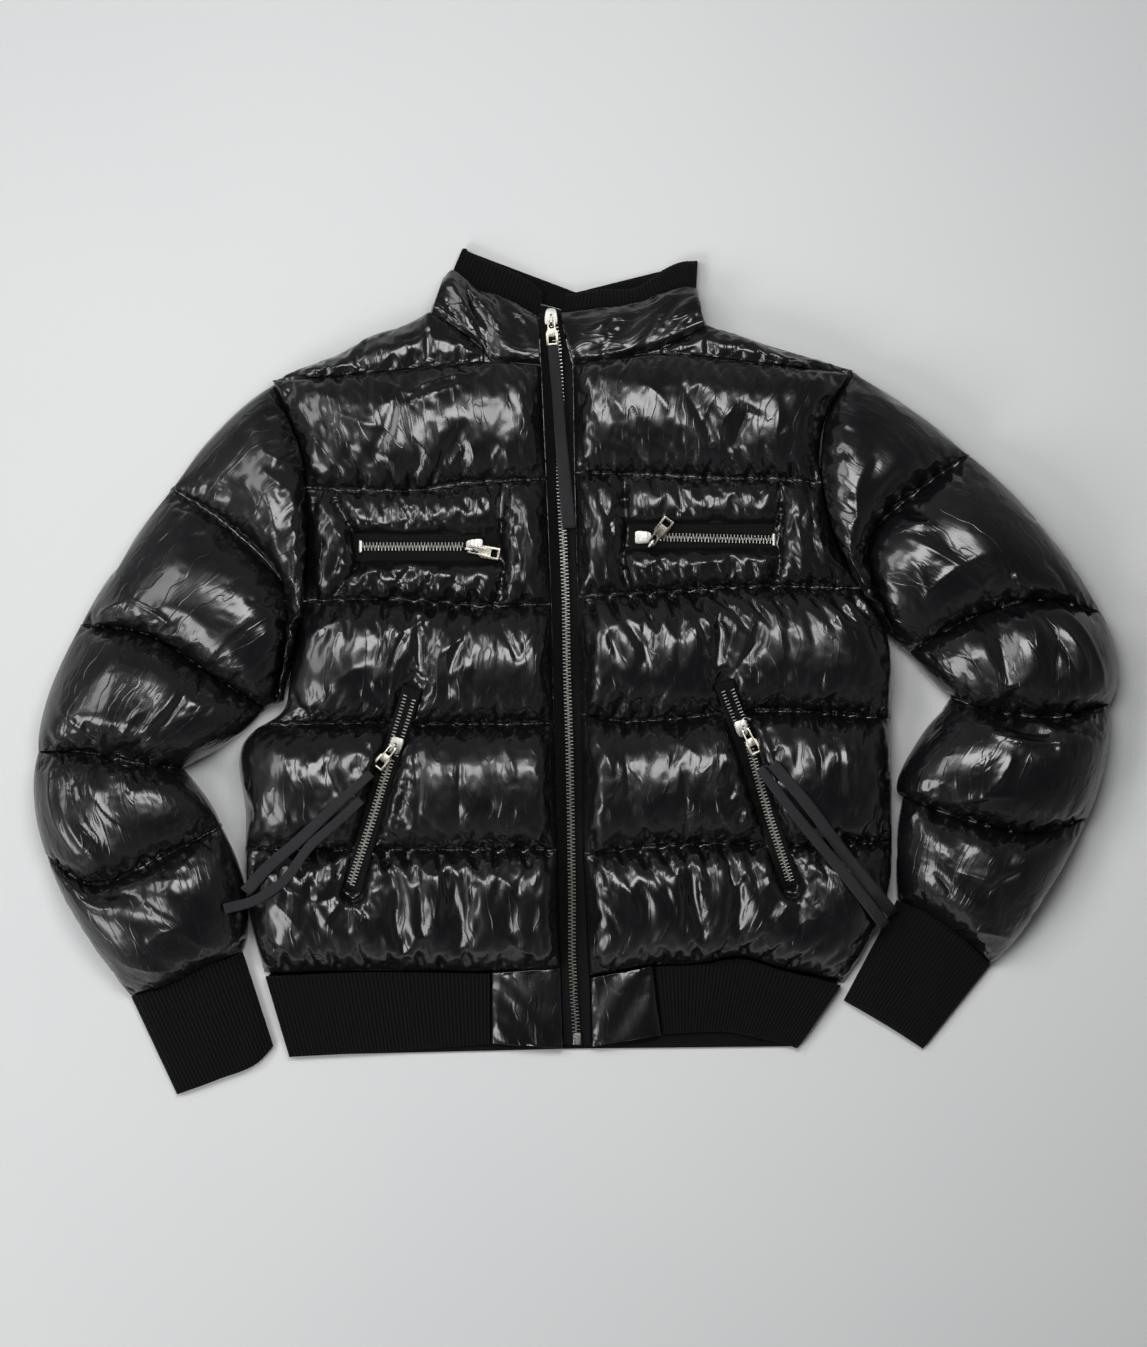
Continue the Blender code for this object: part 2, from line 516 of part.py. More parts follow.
def make_cuff(side):
    seam, free = np.array(SLEEVES[side][-1][1:5], float), np.array(CUFF_ENDS[side], float)
    width = np.linalg.norm(seam[0] - seam[-1])
    count = int(width / (RIB_PITCH / 2)) | 1
    upper = np.concatenate([[0, 0.012], np.linspace(0.035, 0.965, count), [0.988, 1]])
    both = np.concatenate([upper, LOWER])
    ends = along(free, both)
    down = (free - seam) / np.linalg.norm(free - seam, axis=1)[:, None]
    # the seam's row lies on the chords of the sleeve's last ring, a small gap down the cuff
    rims = [np.column_stack([np.interp(at, knots, along(seam, knots)[:, c]) for c in (0, 1)])
            for at, knots in ((upper, UPPER), (LOWER, np.sort(LOWER)))]
    rim = np.concatenate(rims)
    rim += (ends - rim) * 2 * SEAM_GAP / np.linalg.norm(ends - rim, axis=1)[:, None]
    outer, inner = [], []
    for line, plan, height, slit in zip((seam + down * 2 * CURVED_GAP, free), (rim, ends), *CUFF_Z):
        points = np.zeros((len(both), 3))
        points[:, :2] = plan
        rise = np.clip(crown(upper, 4), 0, 1)
        points[: len(upper), 2] = slit + (height - slit) * rise
        points[2 : 2 + count, 2] += ribbed(count)
        points[len(upper) :, 2] = np.where(np.isin(LOWER, (0.97, 0.03)), slit * 0.35, 0)
        inside = np.zeros_like(points)
        inside[:, :2] = along(line, 0.5 + (both - 0.5) * 0.93)
        inside[:, 2] = slit - 0.6
        inside[2 : 2 + count, 2] = slit + 0.6
        inside[[0, 1, 2 + count, 3 + count], 2] = slit
        outer.append(points)
        inner.append(inside)
    wall(("cuff_left", "cuff_right")[side], "rib knit", np.array(outer), np.array(inner), wrap=True)


# ---------------------------------------------------------------- bands that wrap from front to back
def folded_band(name, finish, fronts, back_share, levels, radius, pitch=0.0, bumps=None, shelf=None):
    """A band that starts at the zip, folds round at the left, runs along the back, folds round at the
    right and ends at the zip again. fronts holds for each side rows of points from the fold to the zip;
    levels holds for each row the slit's level, the front's outer height and the back's outer height."""
    outer, inner = [], []
    rows = len(levels)
    for r in range(rows):
        slit, top, low = levels[r]
        ring_outer, ring_inner = [], []
        for side in (0, 1):
            line = fronts[side][r]
            length = np.linalg.norm(np.diff(np.array(fronts[side][0], float), axis=0), axis=1).sum()
            count = max(6, int(length / (pitch / 2 if pitch else 11)) | 1)
            share = np.linspace(0, 1, count)
            share[0] = radius / length * 0.5
            plan = along(line, share)
            away = np.sign(line[0][0]) if side else -1
            height = top + (ribbed(count) if pitch else 0)
            if bumps is not None:
                height = height + bumps(side, share, r / (rows - 1))
            flat = np.column_stack([plan, np.full(count, 0.0) + height])
            under = np.column_stack([plan, np.full(count, slit + 0.4)])
            if shelf:
                under[:, 2] = np.maximum(under[:, 2], shelf(plan[:, 1]))
            angles = np.radians([40, 75, 105, 140])
            corner = np.array(line[0], float)
            out_radius = np.where(angles < np.pi / 2, top - slit, slit - low)
            curl = np.column_stack([
                corner[0] - away * radius + away * radius * np.sin(angles),
                np.full(4, corner[1]),
                slit + out_radius * np.cos(angles),
            ])
            curl_in = np.column_stack([
                corner[0] - away * radius * 1.0 + away * radius * 0.15 * np.sin(angles),
                np.full(4, corner[1]),
                slit + 0.4 * np.cos(angles),
            ])
            if side == 0:
                ring_outer += [flat[::-1], curl]
                ring_inner += [under[::-1], curl_in]
            else:
                back_ends = ring_outer[-1][-1, 0] + 3, curl[-1, 0] - 3
                share_back = np.linspace(0, 1, back_share)
                x = back_ends[0] * (1 - share_back) + back_ends[1] * share_back
                lows, highs = np.array(BACK_YS[name])
                knots = lows + (highs - lows) * r / (rows - 1)
                y = np.interp(x, (back_ends[0], 0, back_ends[1]), knots)
                ring_outer.append(np.column_stack([x, y, np.full(back_share, low)]))
                ring_inner.append(np.column_stack([x, y, np.full(back_share, slit - 0.4)]))
                ring_outer += [curl[::-1], flat]
                ring_inner += [curl_in[::-1], under]
        outer.append(np.concatenate(ring_outer))
        inner.append(np.concatenate(ring_inner))
    wall(name, finish, np.array(outer), np.array(inner))
    return np.array(outer)


BACK_YS = {  # height on the page of each row's back part: at the left fold, in the middle, at the right
    "collar_shell": ((316.5, 312, 305), (345.5, 330.5, 327)),
    "collar_rib": ((346.5, 331.5, 328.5), (373.5, 336.5, 363)),
    "hem_rib": ((-265, -264, -265.5), (-340, -334, -332)),
}


def collar_folds(side, share, level):
    """The collar's creases, which fan out from the throat to the fold: ridges in mm."""
    wave = np.sin(2 * np.pi * (share * 2.6 + level * 1.3 + side * 0.4))
    return 2.6 * wave * np.sin(np.pi * np.clip(share, 0, 1)) * math.sin(math.pi * level)


def neck_shelf(y):
    """The least level of the collar's front: over the top edge of the back, and free above it."""
    return np.interp(y, (317, 329.5), (LAYER_Z + 0.4, 0))


def throat_shelf(y):
    """The least level of the ribbed band's front, where it dips over the collar's back at the throat."""
    return np.interp(y, (326, 338.5), (10.2, 4.8))


def make_collar():
    shares = (0, 0.12, 0.35, 0.6, 0.85, 1)
    fronts = []
    for side in (0, 1):
        at = np.linspace(0, 1, 40)
        base = along(COLLAR_BASES[side], at) + np.array([0, 1.4])
        top = along(COLLAR_TOPS[side], at)
        base[:, 0] += (1 if side else -1) * 0.5
        fronts.append([base * (1 - s) + top * s for s in shares])
    levels = [(9.5, 31, 0), (9.3, 37, 0), (8.8, 35, 0), (8, 31, 0), (7, 25, 0), (6.2, 17, 0)]
    shell = folded_band(
        "collar_shell", "coated nylon", fronts, 9, levels, 9.0, bumps=collar_folds, shelf=neck_shelf
    )
    fronts = []
    for side in (0, 1):
        # the band starts on the very chords of the collar's top edge
        edge = shell[-1][(shell[-1][:, 0] > (THROAT[0][0] + THROAT[1][0]) / 2) == bool(side)]
        edge = edge[edge[:, 2] > 10]
        edge = edge[np.argsort(edge[:, 0])]
        x = np.linspace(COLLAR_TOPS[side][1][0], COLLAR_TOPS[side][-1][0], 60)
        base = np.column_stack([x, np.interp(x, edge[:, 0], edge[:, 1]) + CURVED_GAP])
        fronts.append([base, along(RIB_TOPS[side], np.linspace(0, 1, 40))])
    levels = [(6, 13.5, 0), (4, 8, 0)]
    folded_band("collar_rib", "rib knit", fronts, 9, levels, 4.0, pitch=RIB_PITCH, shelf=throat_shelf)


def hem_shelf(y):
    """The least level of what lies on the back's lower edge."""
    return np.where(y > -276, layer_z(y) + 0.4, 0)


def make_hem():
    fronts = [[along(line[::-1], np.linspace(0, 1, 40)) for line in pair] for pair in HEM_FRONTS]
    levels = [(4.0, 9.8, 0), (3.4, 7.2, 0)]
    folded_band("hem_rib", "rib knit", fronts, 12, levels, 3.5, pitch=RIB_PITCH, shelf=hem_shelf)
    for side, corners in enumerate(TABS):
        c = np.array(corners, float)
        u = np.linspace(0, 1, 9)[None, :, None]
        v = np.array([0, 0.1, 0.3, 0.5, 0.7, 0.9, 1])[:, None, None]
        plan = (c[0] * (1 - u) + c[1] * u) * (1 - v) + (c[3] * (1 - u) + c[2] * u) * v
        z = 9 + 5.5 * crown(u[..., 0], 3) * crown(0.12 + 0.76 * v[..., 0], 3)
        waves = np.sin(2 * np.pi * (1.5 * u + 1.1 * v + 0.3 * side)) * crown(u) * crown(v)
        z = z + 1.6 * waves[..., 0]
        outer = np.dstack([plan, z])
        inner = np.dstack([plan, np.maximum(4.2, hem_shelf(plan[..., 1]))])
        wall(("hem_tab_left", "hem_tab_right")[side], "coated nylon", outer, inner)


# ---------------------------------------------------------------- what is laid on the cloth
def height_finder():
    """A function that gives the top of everything sewn so far, at a place in plan."""
    points = np.concatenate([p for p, _ in SHEETS])
    starts = np.cumsum([0] + [len(p) for p, _ in SHEETS[:-1]])
    faces = np.concatenate([f + s for (_, f), s in zip(SHEETS, starts)])
    tree = BVHTree.FromPolygons(points.tolist(), faces.tolist())

    def height(x, y):
        hit = tree.ray_cast(Vector((x, y, 200)), Vector((0, 0, -1)))[0]
        return hit.z if hit else 0.0

    return height


def strip(name, finish, path, width, thick, spacing, level=None, lift=SEAM_GAP, taut=0, start_z=0.0):
    """A flat strip along a path in plan: lifted off the cloth below it, or at the level that is given.

    taut is how often the strip is pulled straight between the high places it rests on.
    """
    length = np.linalg.norm(np.diff(np.array(path, float), axis=0), axis=1).sum()
    count = int(length / spacing) + 1
    share = np.linspace(0, 1, count)
    middle = along(path, share)
    way = np.gradient(middle, axis=0)
    way /= np.linalg.norm(way, axis=1)[:, None]
    across = np.stack([-way[:, 1], way[:, 0]], 1)
    widths = np.interp(share, [0, 1], width if isinstance(width, tuple) else (width, width))
    offsets = np.array([-0.5, 0.5])
    plan = middle[:, None] + across[:, None] * (offsets[None, :, None] * widths[:, None, None])
    if level is None:
        height = height_finder()
        reach = spacing * 0.55
        z = np.array([
            [
                max(
                    height(*(p + way[i] * a + across[i] * b))
                    for a in (-reach, -reach / 2, 0, reach / 2, reach)
                    for b in (-2.0, 0, 2.0, 4.0 * side)
                )
                for p, side in zip(row, (1, -1))
            ]
            for i, row in enumerate(plan)
        ])
        z[:] = z.max(1)[:, None]
        z[0] = np.maximum(z[0], start_z)
        for _ in range(taut):
            z[1:-1] = np.maximum(z[1:-1], (z[:-2] + z[2:]) / 2)
        z = z + lift
    else:
        z = np.full(plan.shape[:2], level)
    wall(name, finish, np.dstack([plan, z + thick]), np.dstack([plan, z]))


ZIP_LEVEL = (  # y, level of the underside of the main zip's tape
    (-333, 4.7), (-260, 8.0), (-155.5, 21.5), (269.5, 22.5), (292.5, 21.5), (319, 19.0),
)
THROAT = ((-33.5, 317), (-14, 317))  # the collar's front edges at its top: left, right


def zip_border(side):
    """The edge of the collar, the front and the hem tab beside the zip, as points from the top down."""
    front = [line[side][0] for line in FRONT_LINES.values()]
    return np.array([THROAT[side], *front, TABS[side][0], TABS[side][3]], float)


def zip_level(y):
    ys, zs = np.array(ZIP_LEVEL).T
    return np.interp(y, ys, zs)


def make_main_zip():
    line = np.array(ZIP_LINE, float)
    borders = zip_border(0), zip_border(1)
    ys = [np.linspace(315.5, -330.5, 30)] + [border[1:-1, 1] for border in borders]
    ys = np.unique(np.concatenate(ys))[::-1]
    middle = np.interp(-ys, -line[:, 1], line[:, 0])
    for side in (0, 1):
        edge = borders[side]
        away = 1 if side else -1
        border = np.interp(-ys, -edge[:, 1], edge[:, 0]) - away * CURVED_GAP
        xs = np.stack([border, middle + away * 0.4], 1)
        plan = np.dstack([xs, np.repeat(ys[:, None], 2, 1)])
        z = np.repeat(zip_level(ys)[:, None], 2, 1)
        name = ("zip_tape_left", "zip_tape_right")[side]
        wall(name, "zip tape", np.dstack([plan, z + TAPE_THICK]), np.dstack([plan, z]))
    xs = np.stack([middle - TEETH_WIDTH / 2, middle + TEETH_WIDTH / 2], 1)
    low = np.dstack([xs, np.repeat(ys[:, None], 2, 1), z + TAPE_THICK + SEAM_GAP])
    wall("zip_teeth", "nickel", low + np.array([0, 0, TEETH_THICK]), low)


# ---------------------------------------------------------------- sliders and pulls
def outline(name, finish, loops, thick, place, turn, tilt=0.0):
    """A flat plate from closed outlines in mm, the first its edge and the others holes through it."""
    curve = bpy.data.curves.new(name, "CURVE")
    curve.dimensions = "2D"
    curve.fill_mode = "BOTH"
    curve.extrude = thick * MM / 2
    for loop in loops:
        spline = curve.splines.new("POLY")
        spline.points.add(len(loop) - 1)
        for point, (x, y) in zip(spline.points, loop):
            point.co = (x * MM, y * MM, 0, 1)
        spline.use_cyclic_u = True
    made = bpy.data.objects.new(name, curve)
    bpy.data.collections["puffer jacket"].objects.link(made)
    curve.materials.append(material(finish))
    made.location = Vector(place) * MM
    made.rotation_euler = (0, -tilt, turn)
    return made


def as_mesh(made):
    """The same object with its evaluated shape as a mesh."""
    bpy.context.view_layer.update()
    graph = bpy.context.evaluated_depsgraph_get()
    mesh = bpy.data.meshes.new_from_object(made.evaluated_get(graph))
    name, matrix, finish = made.name, made.matrix_world.copy(), made.data.materials[0]
    bpy.data.objects.remove(made)
    shape = bmesh.new()
    shape.from_mesh(mesh)
    bmesh.ops.remove_doubles(shape, verts=shape.verts, dist=1e-6)
    bmesh.ops.recalc_face_normals(shape, faces=shape.faces)
    shape.to_mesh(mesh)
    shape.free()
    new = bpy.data.objects.new(name, mesh)
    bpy.data.collections["puffer jacket"].objects.link(new)
    new.matrix_world = matrix
    mesh.materials.clear()
    mesh.materials.append(finish)
    return new


SLIDER_LONG, SLIDER_HIGH = 15.0, 3.4
BRIDGE_WIDE, BRIDGE_HALF, BRIDGE_RISE = 2.2, 4.6, 4.2  # the arch that the pull's bar lies under
BRIDGE_THICK = 1.2
BRIDGE_ROOT = 1.5  # how far the arch's legs run down into the slider
BRIDGE_SILL = -0.5  # the lower edge of the arch's opening, inside the slider
PULL_THICK = 1.2
PULL_LIFT = 0.8  # from the slider's top to the underside of the pull, so that its bar can turn
SLIDER_SHAPE = ((-7.5, -3.6), (-3, -5.4), (4, -6), (7.5, -5), (7.5, 5), (4, 6), (-3, 5.4), (-7.5, 3.6))


def pull_loops(length):
    """Outlines of a pull along +X from its bar: its edge, the slot behind the bar and the end's hole."""
    edge = [(-1.1, -3.6), (9, -3.6), (11.5, -5.5), (length - 1.5, -5.5), (length - 1, -4)]
    edge += [(length - 1, 4), (length - 1.5, 5.5), (11.5, 5.5), (9, 3.6), (-1.1, 3.6)]
    slot = [(1.1, -2.1), (1.1, 2.1), (8, 2.1), (8, -2.1)]
    hole = [(length - 8.5, -3.2), (length - 8.5, 3.2), (length - 3, 3.2), (length - 3, -3.2)]
    return [edge, slot, hole]


def make_slider(name, place, turn, bar, pull_turn):
    """A slider with its arch, which stands over the pull's bar and runs the way the pull points."""
    body = as_mesh(outline(name, "nickel", [SLIDER_SHAPE], SLIDER_HIGH, place, turn))
    outside, inside = BRIDGE_HALF, BRIDGE_HALF - BRIDGE_THICK
    crest, ceiling = BRIDGE_RISE, BRIDGE_RISE - BRIDGE_THICK
    profile = [(-outside, -BRIDGE_ROOT), (-outside, ceiling), (-inside, crest)]
    profile += [(inside, crest), (outside, ceiling), (outside, -BRIDGE_ROOT)]
    inner = [(-inside, BRIDGE_SILL), (inside, BRIDGE_SILL), (inside, ceiling), (-inside, ceiling)]
    top = place[2] + SLIDER_HIGH / 2
    arch = outline(name + "_arch", "nickel", [profile, inner], BRIDGE_WIDE, (*bar, top), 0)
    arch.rotation_euler = (math.pi / 2, 0, pull_turn)
    arch = as_mesh(arch)
    arch.hide_render = True
    arch.display_type = "WIRE"
    joined = body.modifiers.new("arch", "BOOLEAN")
    joined.operation = "UNION"
    joined.object = arch
    for collection in list(arch.users_collection):
        collection.objects.unlink(arch)
    bpy.data.collections["cutters"].objects.link(arch)
    return top


def make_pull(name, bar, top, turn, tilt, length):
    """Makes the pull and gives the level of the underside of its far end."""
    z = top + PULL_LIFT + PULL_THICK / 2
    as_mesh(outline(name, "nickel", pull_loops(length), PULL_THICK, (*bar, z), turn, tilt))
    return z - PULL_THICK / 2 + length * math.sin(tilt)


def way(start, end):
    """The direction in plan from one place to another, as an angle."""
    return math.atan2(end[1] - start[1], end[0] - start[0])


CHEST_TAPES = (  # left, right: x at both ends, y at both edges
    ((-197, -67), (97, 122)),
    ((46, 174), (108, 130.5)),
)
CHEST_TEETH = ([(-189, 110.5), (-98.5, 110.5)], [(70.5, 119), (173.5, 116.5)])
CHEST_SLIDERS = (  # slider, the way it faces, the pull's bar, the pull's far end, tilt
    ((-89, 111.5), 0.0, (-93.5, 108), (-68, 103.5), 4.0),
    ((59, 118.5), 180.0, (66, 113), (82.5, 135), 10.0),
)
PULL_LONG = 28.0
SHORT_PULL_LONG = 24.0


def make_chest_zips():
    for side, word in enumerate(("left", "right")):
        xs, ys = CHEST_TAPES[side]
        middle = [(xs[0], sum(ys) / 2), (xs[1], sum(ys) / 2)]
        level = CHEST_ZIP_Z + SEAM_GAP
        strip(f"chest_tape_{word}", "zip tape", middle, ys[1] - ys[0], POCKET_TAPE_THICK, 60.0, level)
        level += POCKET_TAPE_THICK + SEAM_GAP
        teeth = CHEST_TEETH[side]
        strip(f"chest_teeth_{word}", "nickel", teeth, TEETH_WIDTH, POCKET_TEETH_THICK, 60.0, level)
        place, turn, bar, end, tilt = CHEST_SLIDERS[side]
        z = level + SLIDER_HIGH / 2
        top = make_slider(f"chest_slider_{word}", (*place, z), math.radians(turn), bar, way(bar, end))
        make_pull(f"chest_pull_{word}", bar, top, way(bar, end), math.radians(tilt), PULL_LONG)


HAND_TAPES = (  # left, right
    [(-142.5, -13.5), (-162, -72.5), (-179.5, -131.5), (-196, -191.5)],
    [(129.5, -8.5), (148, -64), (168, -125.5), (189, -188)],
)
HAND_TEETH = (
    [(-162, -74.5), (-179.5, -131.5), (-198, -187)],
    [(150.5, -59.5), (169, -125.5), (188.5, -184.5)],
)
HAND_SLIDERS = (  # slider, the pull's bar, the pull's far end
    ((-157.5, -64), (-160, -65.5), (-175, -85)),
    ((145, -49), (148, -50.5), (159.5, -74.5)),
)
RIBBONS = {  # name: path, width at the start and the end
    "ribbon_main": ([(-20.5, 287.5), (-17.5, 257.5), (-12.5, 196), (-6, 127)], (9.0, 12.0)),
    "ribbon_left_a": (
        [(-178, -87.5), (-205, -112), (-243, -147.5), (-269.5, -170.5), (-290.5, -193)],
        (8.0, 11.0),
    ),
    "ribbon_left_b": (
        [(-186.5, -110.5), (-207.5, -130), (-230.5, -150), (-257, -183.5), (-281.5, -199.5), (-308, -207)],
        (8.0, 9.0),
    ),
    "ribbon_right_a": ([(170.5, -79), (199, -112), (241, -167), (280, -213.5)], (10.0, 11.0)),
    "ribbon_right_b": ([(159.5, -83), (186.5, -118.5), (234, -175.5), (273, -224)], (8.0, 11.0)),
}


def make_hand_zips():
    for side, word in enumerate(("left", "right")):
        tape, lift = HAND_TAPES[side], 2 * SEAM_GAP
        strip(f"hand_tape_{word}", "zip tape", tape, HAND_TAPE_WIDTH, POCKET_TAPE_THICK, 7.0, lift=lift)
        strip(f"hand_teeth_{word}", "nickel", HAND_TEETH[side], TEETH_WIDTH, POCKET_TEETH_THICK, 8.0)
    height = height_finder()
    for side, word in enumerate(("left", "right")):
        place, bar, end = HAND_SLIDERS[side]
        turn = way(HAND_TAPES[side][2], HAND_TAPES[side][1])
        low = max(
            height(place[0] + a, place[1] + b) for a in (-6, -3, 0, 3, 6) for b in (-8, -4, 0, 4, 8)
        )
        z = low + SEAM_GAP + SLIDER_HIGH / 2
        top = make_slider(f"hand_slider_{word}", (*place, z), turn, bar, way(bar, end))
        make_pull(f"hand_pull_{word}", bar, top, way(bar, end), math.radians(6), SHORT_PULL_LONG)


MAIN_SLIDER = (-22, 313.5)
MAIN_PULL = ((-22, 311), (-20.5, 287.5))


def make_main_slider():
    bar, end = MAIN_PULL
    lowest = MAIN_SLIDER[1] - SLIDER_LONG / 2
    z = zip_level(lowest) + TAPE_THICK + TEETH_THICK + 2 * SEAM_GAP + SLIDER_HIGH / 2
    top = make_slider("zip_slider", (*MAIN_SLIDER, z), -math.pi / 2, bar, way(bar, end))
    return make_pull("zip_pull", bar, top, way(bar, end), math.radians(-3), SHORT_PULL_LONG)


def make_ribbons(start_z):
    """The grosgrain ribbons; the main one starts at the level that is given."""
    for name, (path, width) in RIBBONS.items():
        level = start_z if name == "ribbon_main" else 0.0
        strip(name, "grosgrain", path, width, RIBBON_THICK, 9.0, taut=40, start_z=level)


def main():
    for old in list(bpy.data.objects):
        bpy.data.objects.remove(old)
    for name in ("puffer jacket", "cutters"):
        bpy.context.scene.collection.children.link(bpy.data.collections.new(name))
    make_back()
    for side in (0, 1):
        front = make_front(side)
        make_yoke(side, front)
        make_sleeve(side)
        make_cuff(side)
    make_collar()
    make_hem()
    make_main_zip()
    make_chest_zips()
    make_hand_zips()
    make_ribbons(make_main_slider())


main()
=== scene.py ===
"""A glossy cropped puffer jacket, zipped up and laid flat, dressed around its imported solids.

The fronts, yokes and sleeves are grids of points: laid out from the cut's own lines, raised to the height
of their padding, filled by a short cloth simulation that is held along the seams, then gathered at every
seam and creased. The flatter pieces are made the same way but without the simulation.
Tables are in millimetres in the model's frame: +X across, +Y from the hem to the collar, +Z up.
"""

import math

import bmesh
import bpy
import numpy as np
from mathutils import Euler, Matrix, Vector


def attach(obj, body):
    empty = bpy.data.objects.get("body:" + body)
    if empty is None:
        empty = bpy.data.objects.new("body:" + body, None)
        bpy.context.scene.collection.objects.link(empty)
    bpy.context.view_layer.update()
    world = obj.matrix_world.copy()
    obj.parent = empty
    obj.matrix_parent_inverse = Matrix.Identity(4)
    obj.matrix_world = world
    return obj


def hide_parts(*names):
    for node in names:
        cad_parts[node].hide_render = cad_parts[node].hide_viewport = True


bl_info = {
    "name": "Puffer Jacket",
    "version": (1, 0, 0),
    "blender": (4, 5, 0),
    "location": "3D View > Sidebar > Jacket",
    "description": "Builds a zipped glossy puffer jacket that lies flat, with its bands, zips and ribbons",
    "category": "Add Mesh",
}

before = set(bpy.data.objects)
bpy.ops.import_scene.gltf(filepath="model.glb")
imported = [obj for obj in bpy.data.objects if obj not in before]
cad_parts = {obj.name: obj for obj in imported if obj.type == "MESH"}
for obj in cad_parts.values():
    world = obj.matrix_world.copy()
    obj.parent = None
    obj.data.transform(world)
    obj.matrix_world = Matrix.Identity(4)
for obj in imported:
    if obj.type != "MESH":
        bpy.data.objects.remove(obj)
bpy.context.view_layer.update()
MM = 0.001
WORDS = ("left", "right")

# ---------------------------------------------------------------- the cut, in mm
FRONT_LINES = {  # line: left front, right front
    "yoke seam": (
        [(-31, 269.5), (-70.5, 273), (-125, 269), (-185, 262.5), (-263, 256.5)],
        [(-2.5, 269), (21, 273), (48.5, 278.5), (120.5, 277), (146, 274), (197, 268), (243, 262.5)],
    ),
    "chest line": (
        [(-26.5, 170.5), (-68, 168.5), (-106.5, 165), (-131, 160.5), (-183, 159.5), (-237.5, 163)],
        [(-1, 176.5), (73, 173), (130, 170.5), (169, 170.5), (214.5, 167)],
    ),
    "pocket line": (
        [(-22, 60.5), (-72, 58.5), (-144.5, 64), (-216.5, 64), (-240, 63)],
        [(2, 66.5), (22, 68), (50, 70), (102, 72.5), (130, 75), (246.5, 74.5)],
    ),
    "waist line": (
        [(-20, -44.5), (-119.5, -45.5), (-171.5, -44.5), (-276.5, -45.5)],
        [(5.5, -36.5), (38.5, -42), (82, -41), (124, -36.5), (163.5, -34), (278, -40)],
    ),
    "low line": (
        [(-16.5, -155.5), (-134, -155.5), (-223.5, -156), (-292, -154.5)],
        [(7, -159), (62.5, -153.5), (133, -150), (204, -152), (279, -149)],
    ),
    "hem seam": (
        [(-14, -260), (-77.5, -263.5), (-184, -262.5), (-277, -266)],
        [(12.5, -268), (69.5, -257.5), (110, -255.5), (145, -250.5), (180.5, -260), (237.5, -274)],
    ),
}
PUCKERS = (  # how deep the gathers are in each baffle: at its top, at its foot
    (0.5, 0.9), (1.0, 1.0), (2.0, 0.8), (1.0, 0.7), (1.9, 1.1),
)
BAFFLES = (  # above, below, crown z, crown z of the two pads over and under a chest zip
    ("yoke seam", "chest line", 53, None),
    ("chest line", "pocket line", 51, 47),
    ("pocket line", "waist line", 63, None),
    ("waist line", "low line", 66, None),
    ("low line", "hem seam", 56, None),
)
ARMHOLES = (  # from the shoulder to the underarm: left, right
    [(-266.5, 254), (-243, 197.5), (-236.5, 112), (-254.5, -24)],
    [(244.5, 265.5), (218, 218), (222.5, 134), (272, 37.5)],
)
SIDES = (  # from the underarm to the hem: left, right
    [
        (-254.5, -24), (-257, -31), (-268.5, -42), (-281.5, -49), (-290.5, -57.5),
        (-291.5, -130.5), (-292, -154.5), (-291.5, -189.5), (-287, -225), (-277, -266),
    ],
    [
        (272, 37.5), (274.5, 28.5), (278, -40), (279, -111.5),
        (279, -149), (276.5, -196.5), (260.5, -236.5), (238.5, -274),
    ],
)
SHOULDERS = (  # the outline from the armhole to the neck: left, right
    [(-263, 257.5), (-252.5, 264.5), (-214, 278.5), (-188.5, 292.5), (-151.5, 306.5), (-128.5, 318)],
    [(243, 267), (205, 278.5), (157.5, 292.5), (131, 301.5), (115.5, 306)],
)
COLLAR_BASES = (  # along the neck seam, from the shoulder to the zip: left, right
    [(-128.5, 318), (-104, 301.5), (-82.5, 285.5), (-74, 273), (-53.5, 272.5), (-31, 270.5)],
    [(115.5, 306), (96, 295), (74, 286.5), (48.5, 278.5), (21, 274), (-2.5, 269.5)],
)
COLLAR_TOPS = (  # the seam between the collar and its ribbed band: left, right
    [(-119, 346.5), (-109, 356), (-97, 348), (-86, 339), (-74, 335), (-53, 327), (-33.5, 314.5)],
    [(109, 327), (106.5, 339), (89, 340), (75.5, 335.5), (58, 328), (31, 323.5), (-14, 318)],
)
RIB_TOPS = (  # the free edge of that band: left, right
    [(-101, 376), (-78.5, 365.5), (-57, 356), (-40.5, 347), (-29, 336.5)],
    [(108, 365), (93.5, 364), (80, 358.5), (67, 350), (54.5, 342), (22, 340), (-9, 335.5)],
)
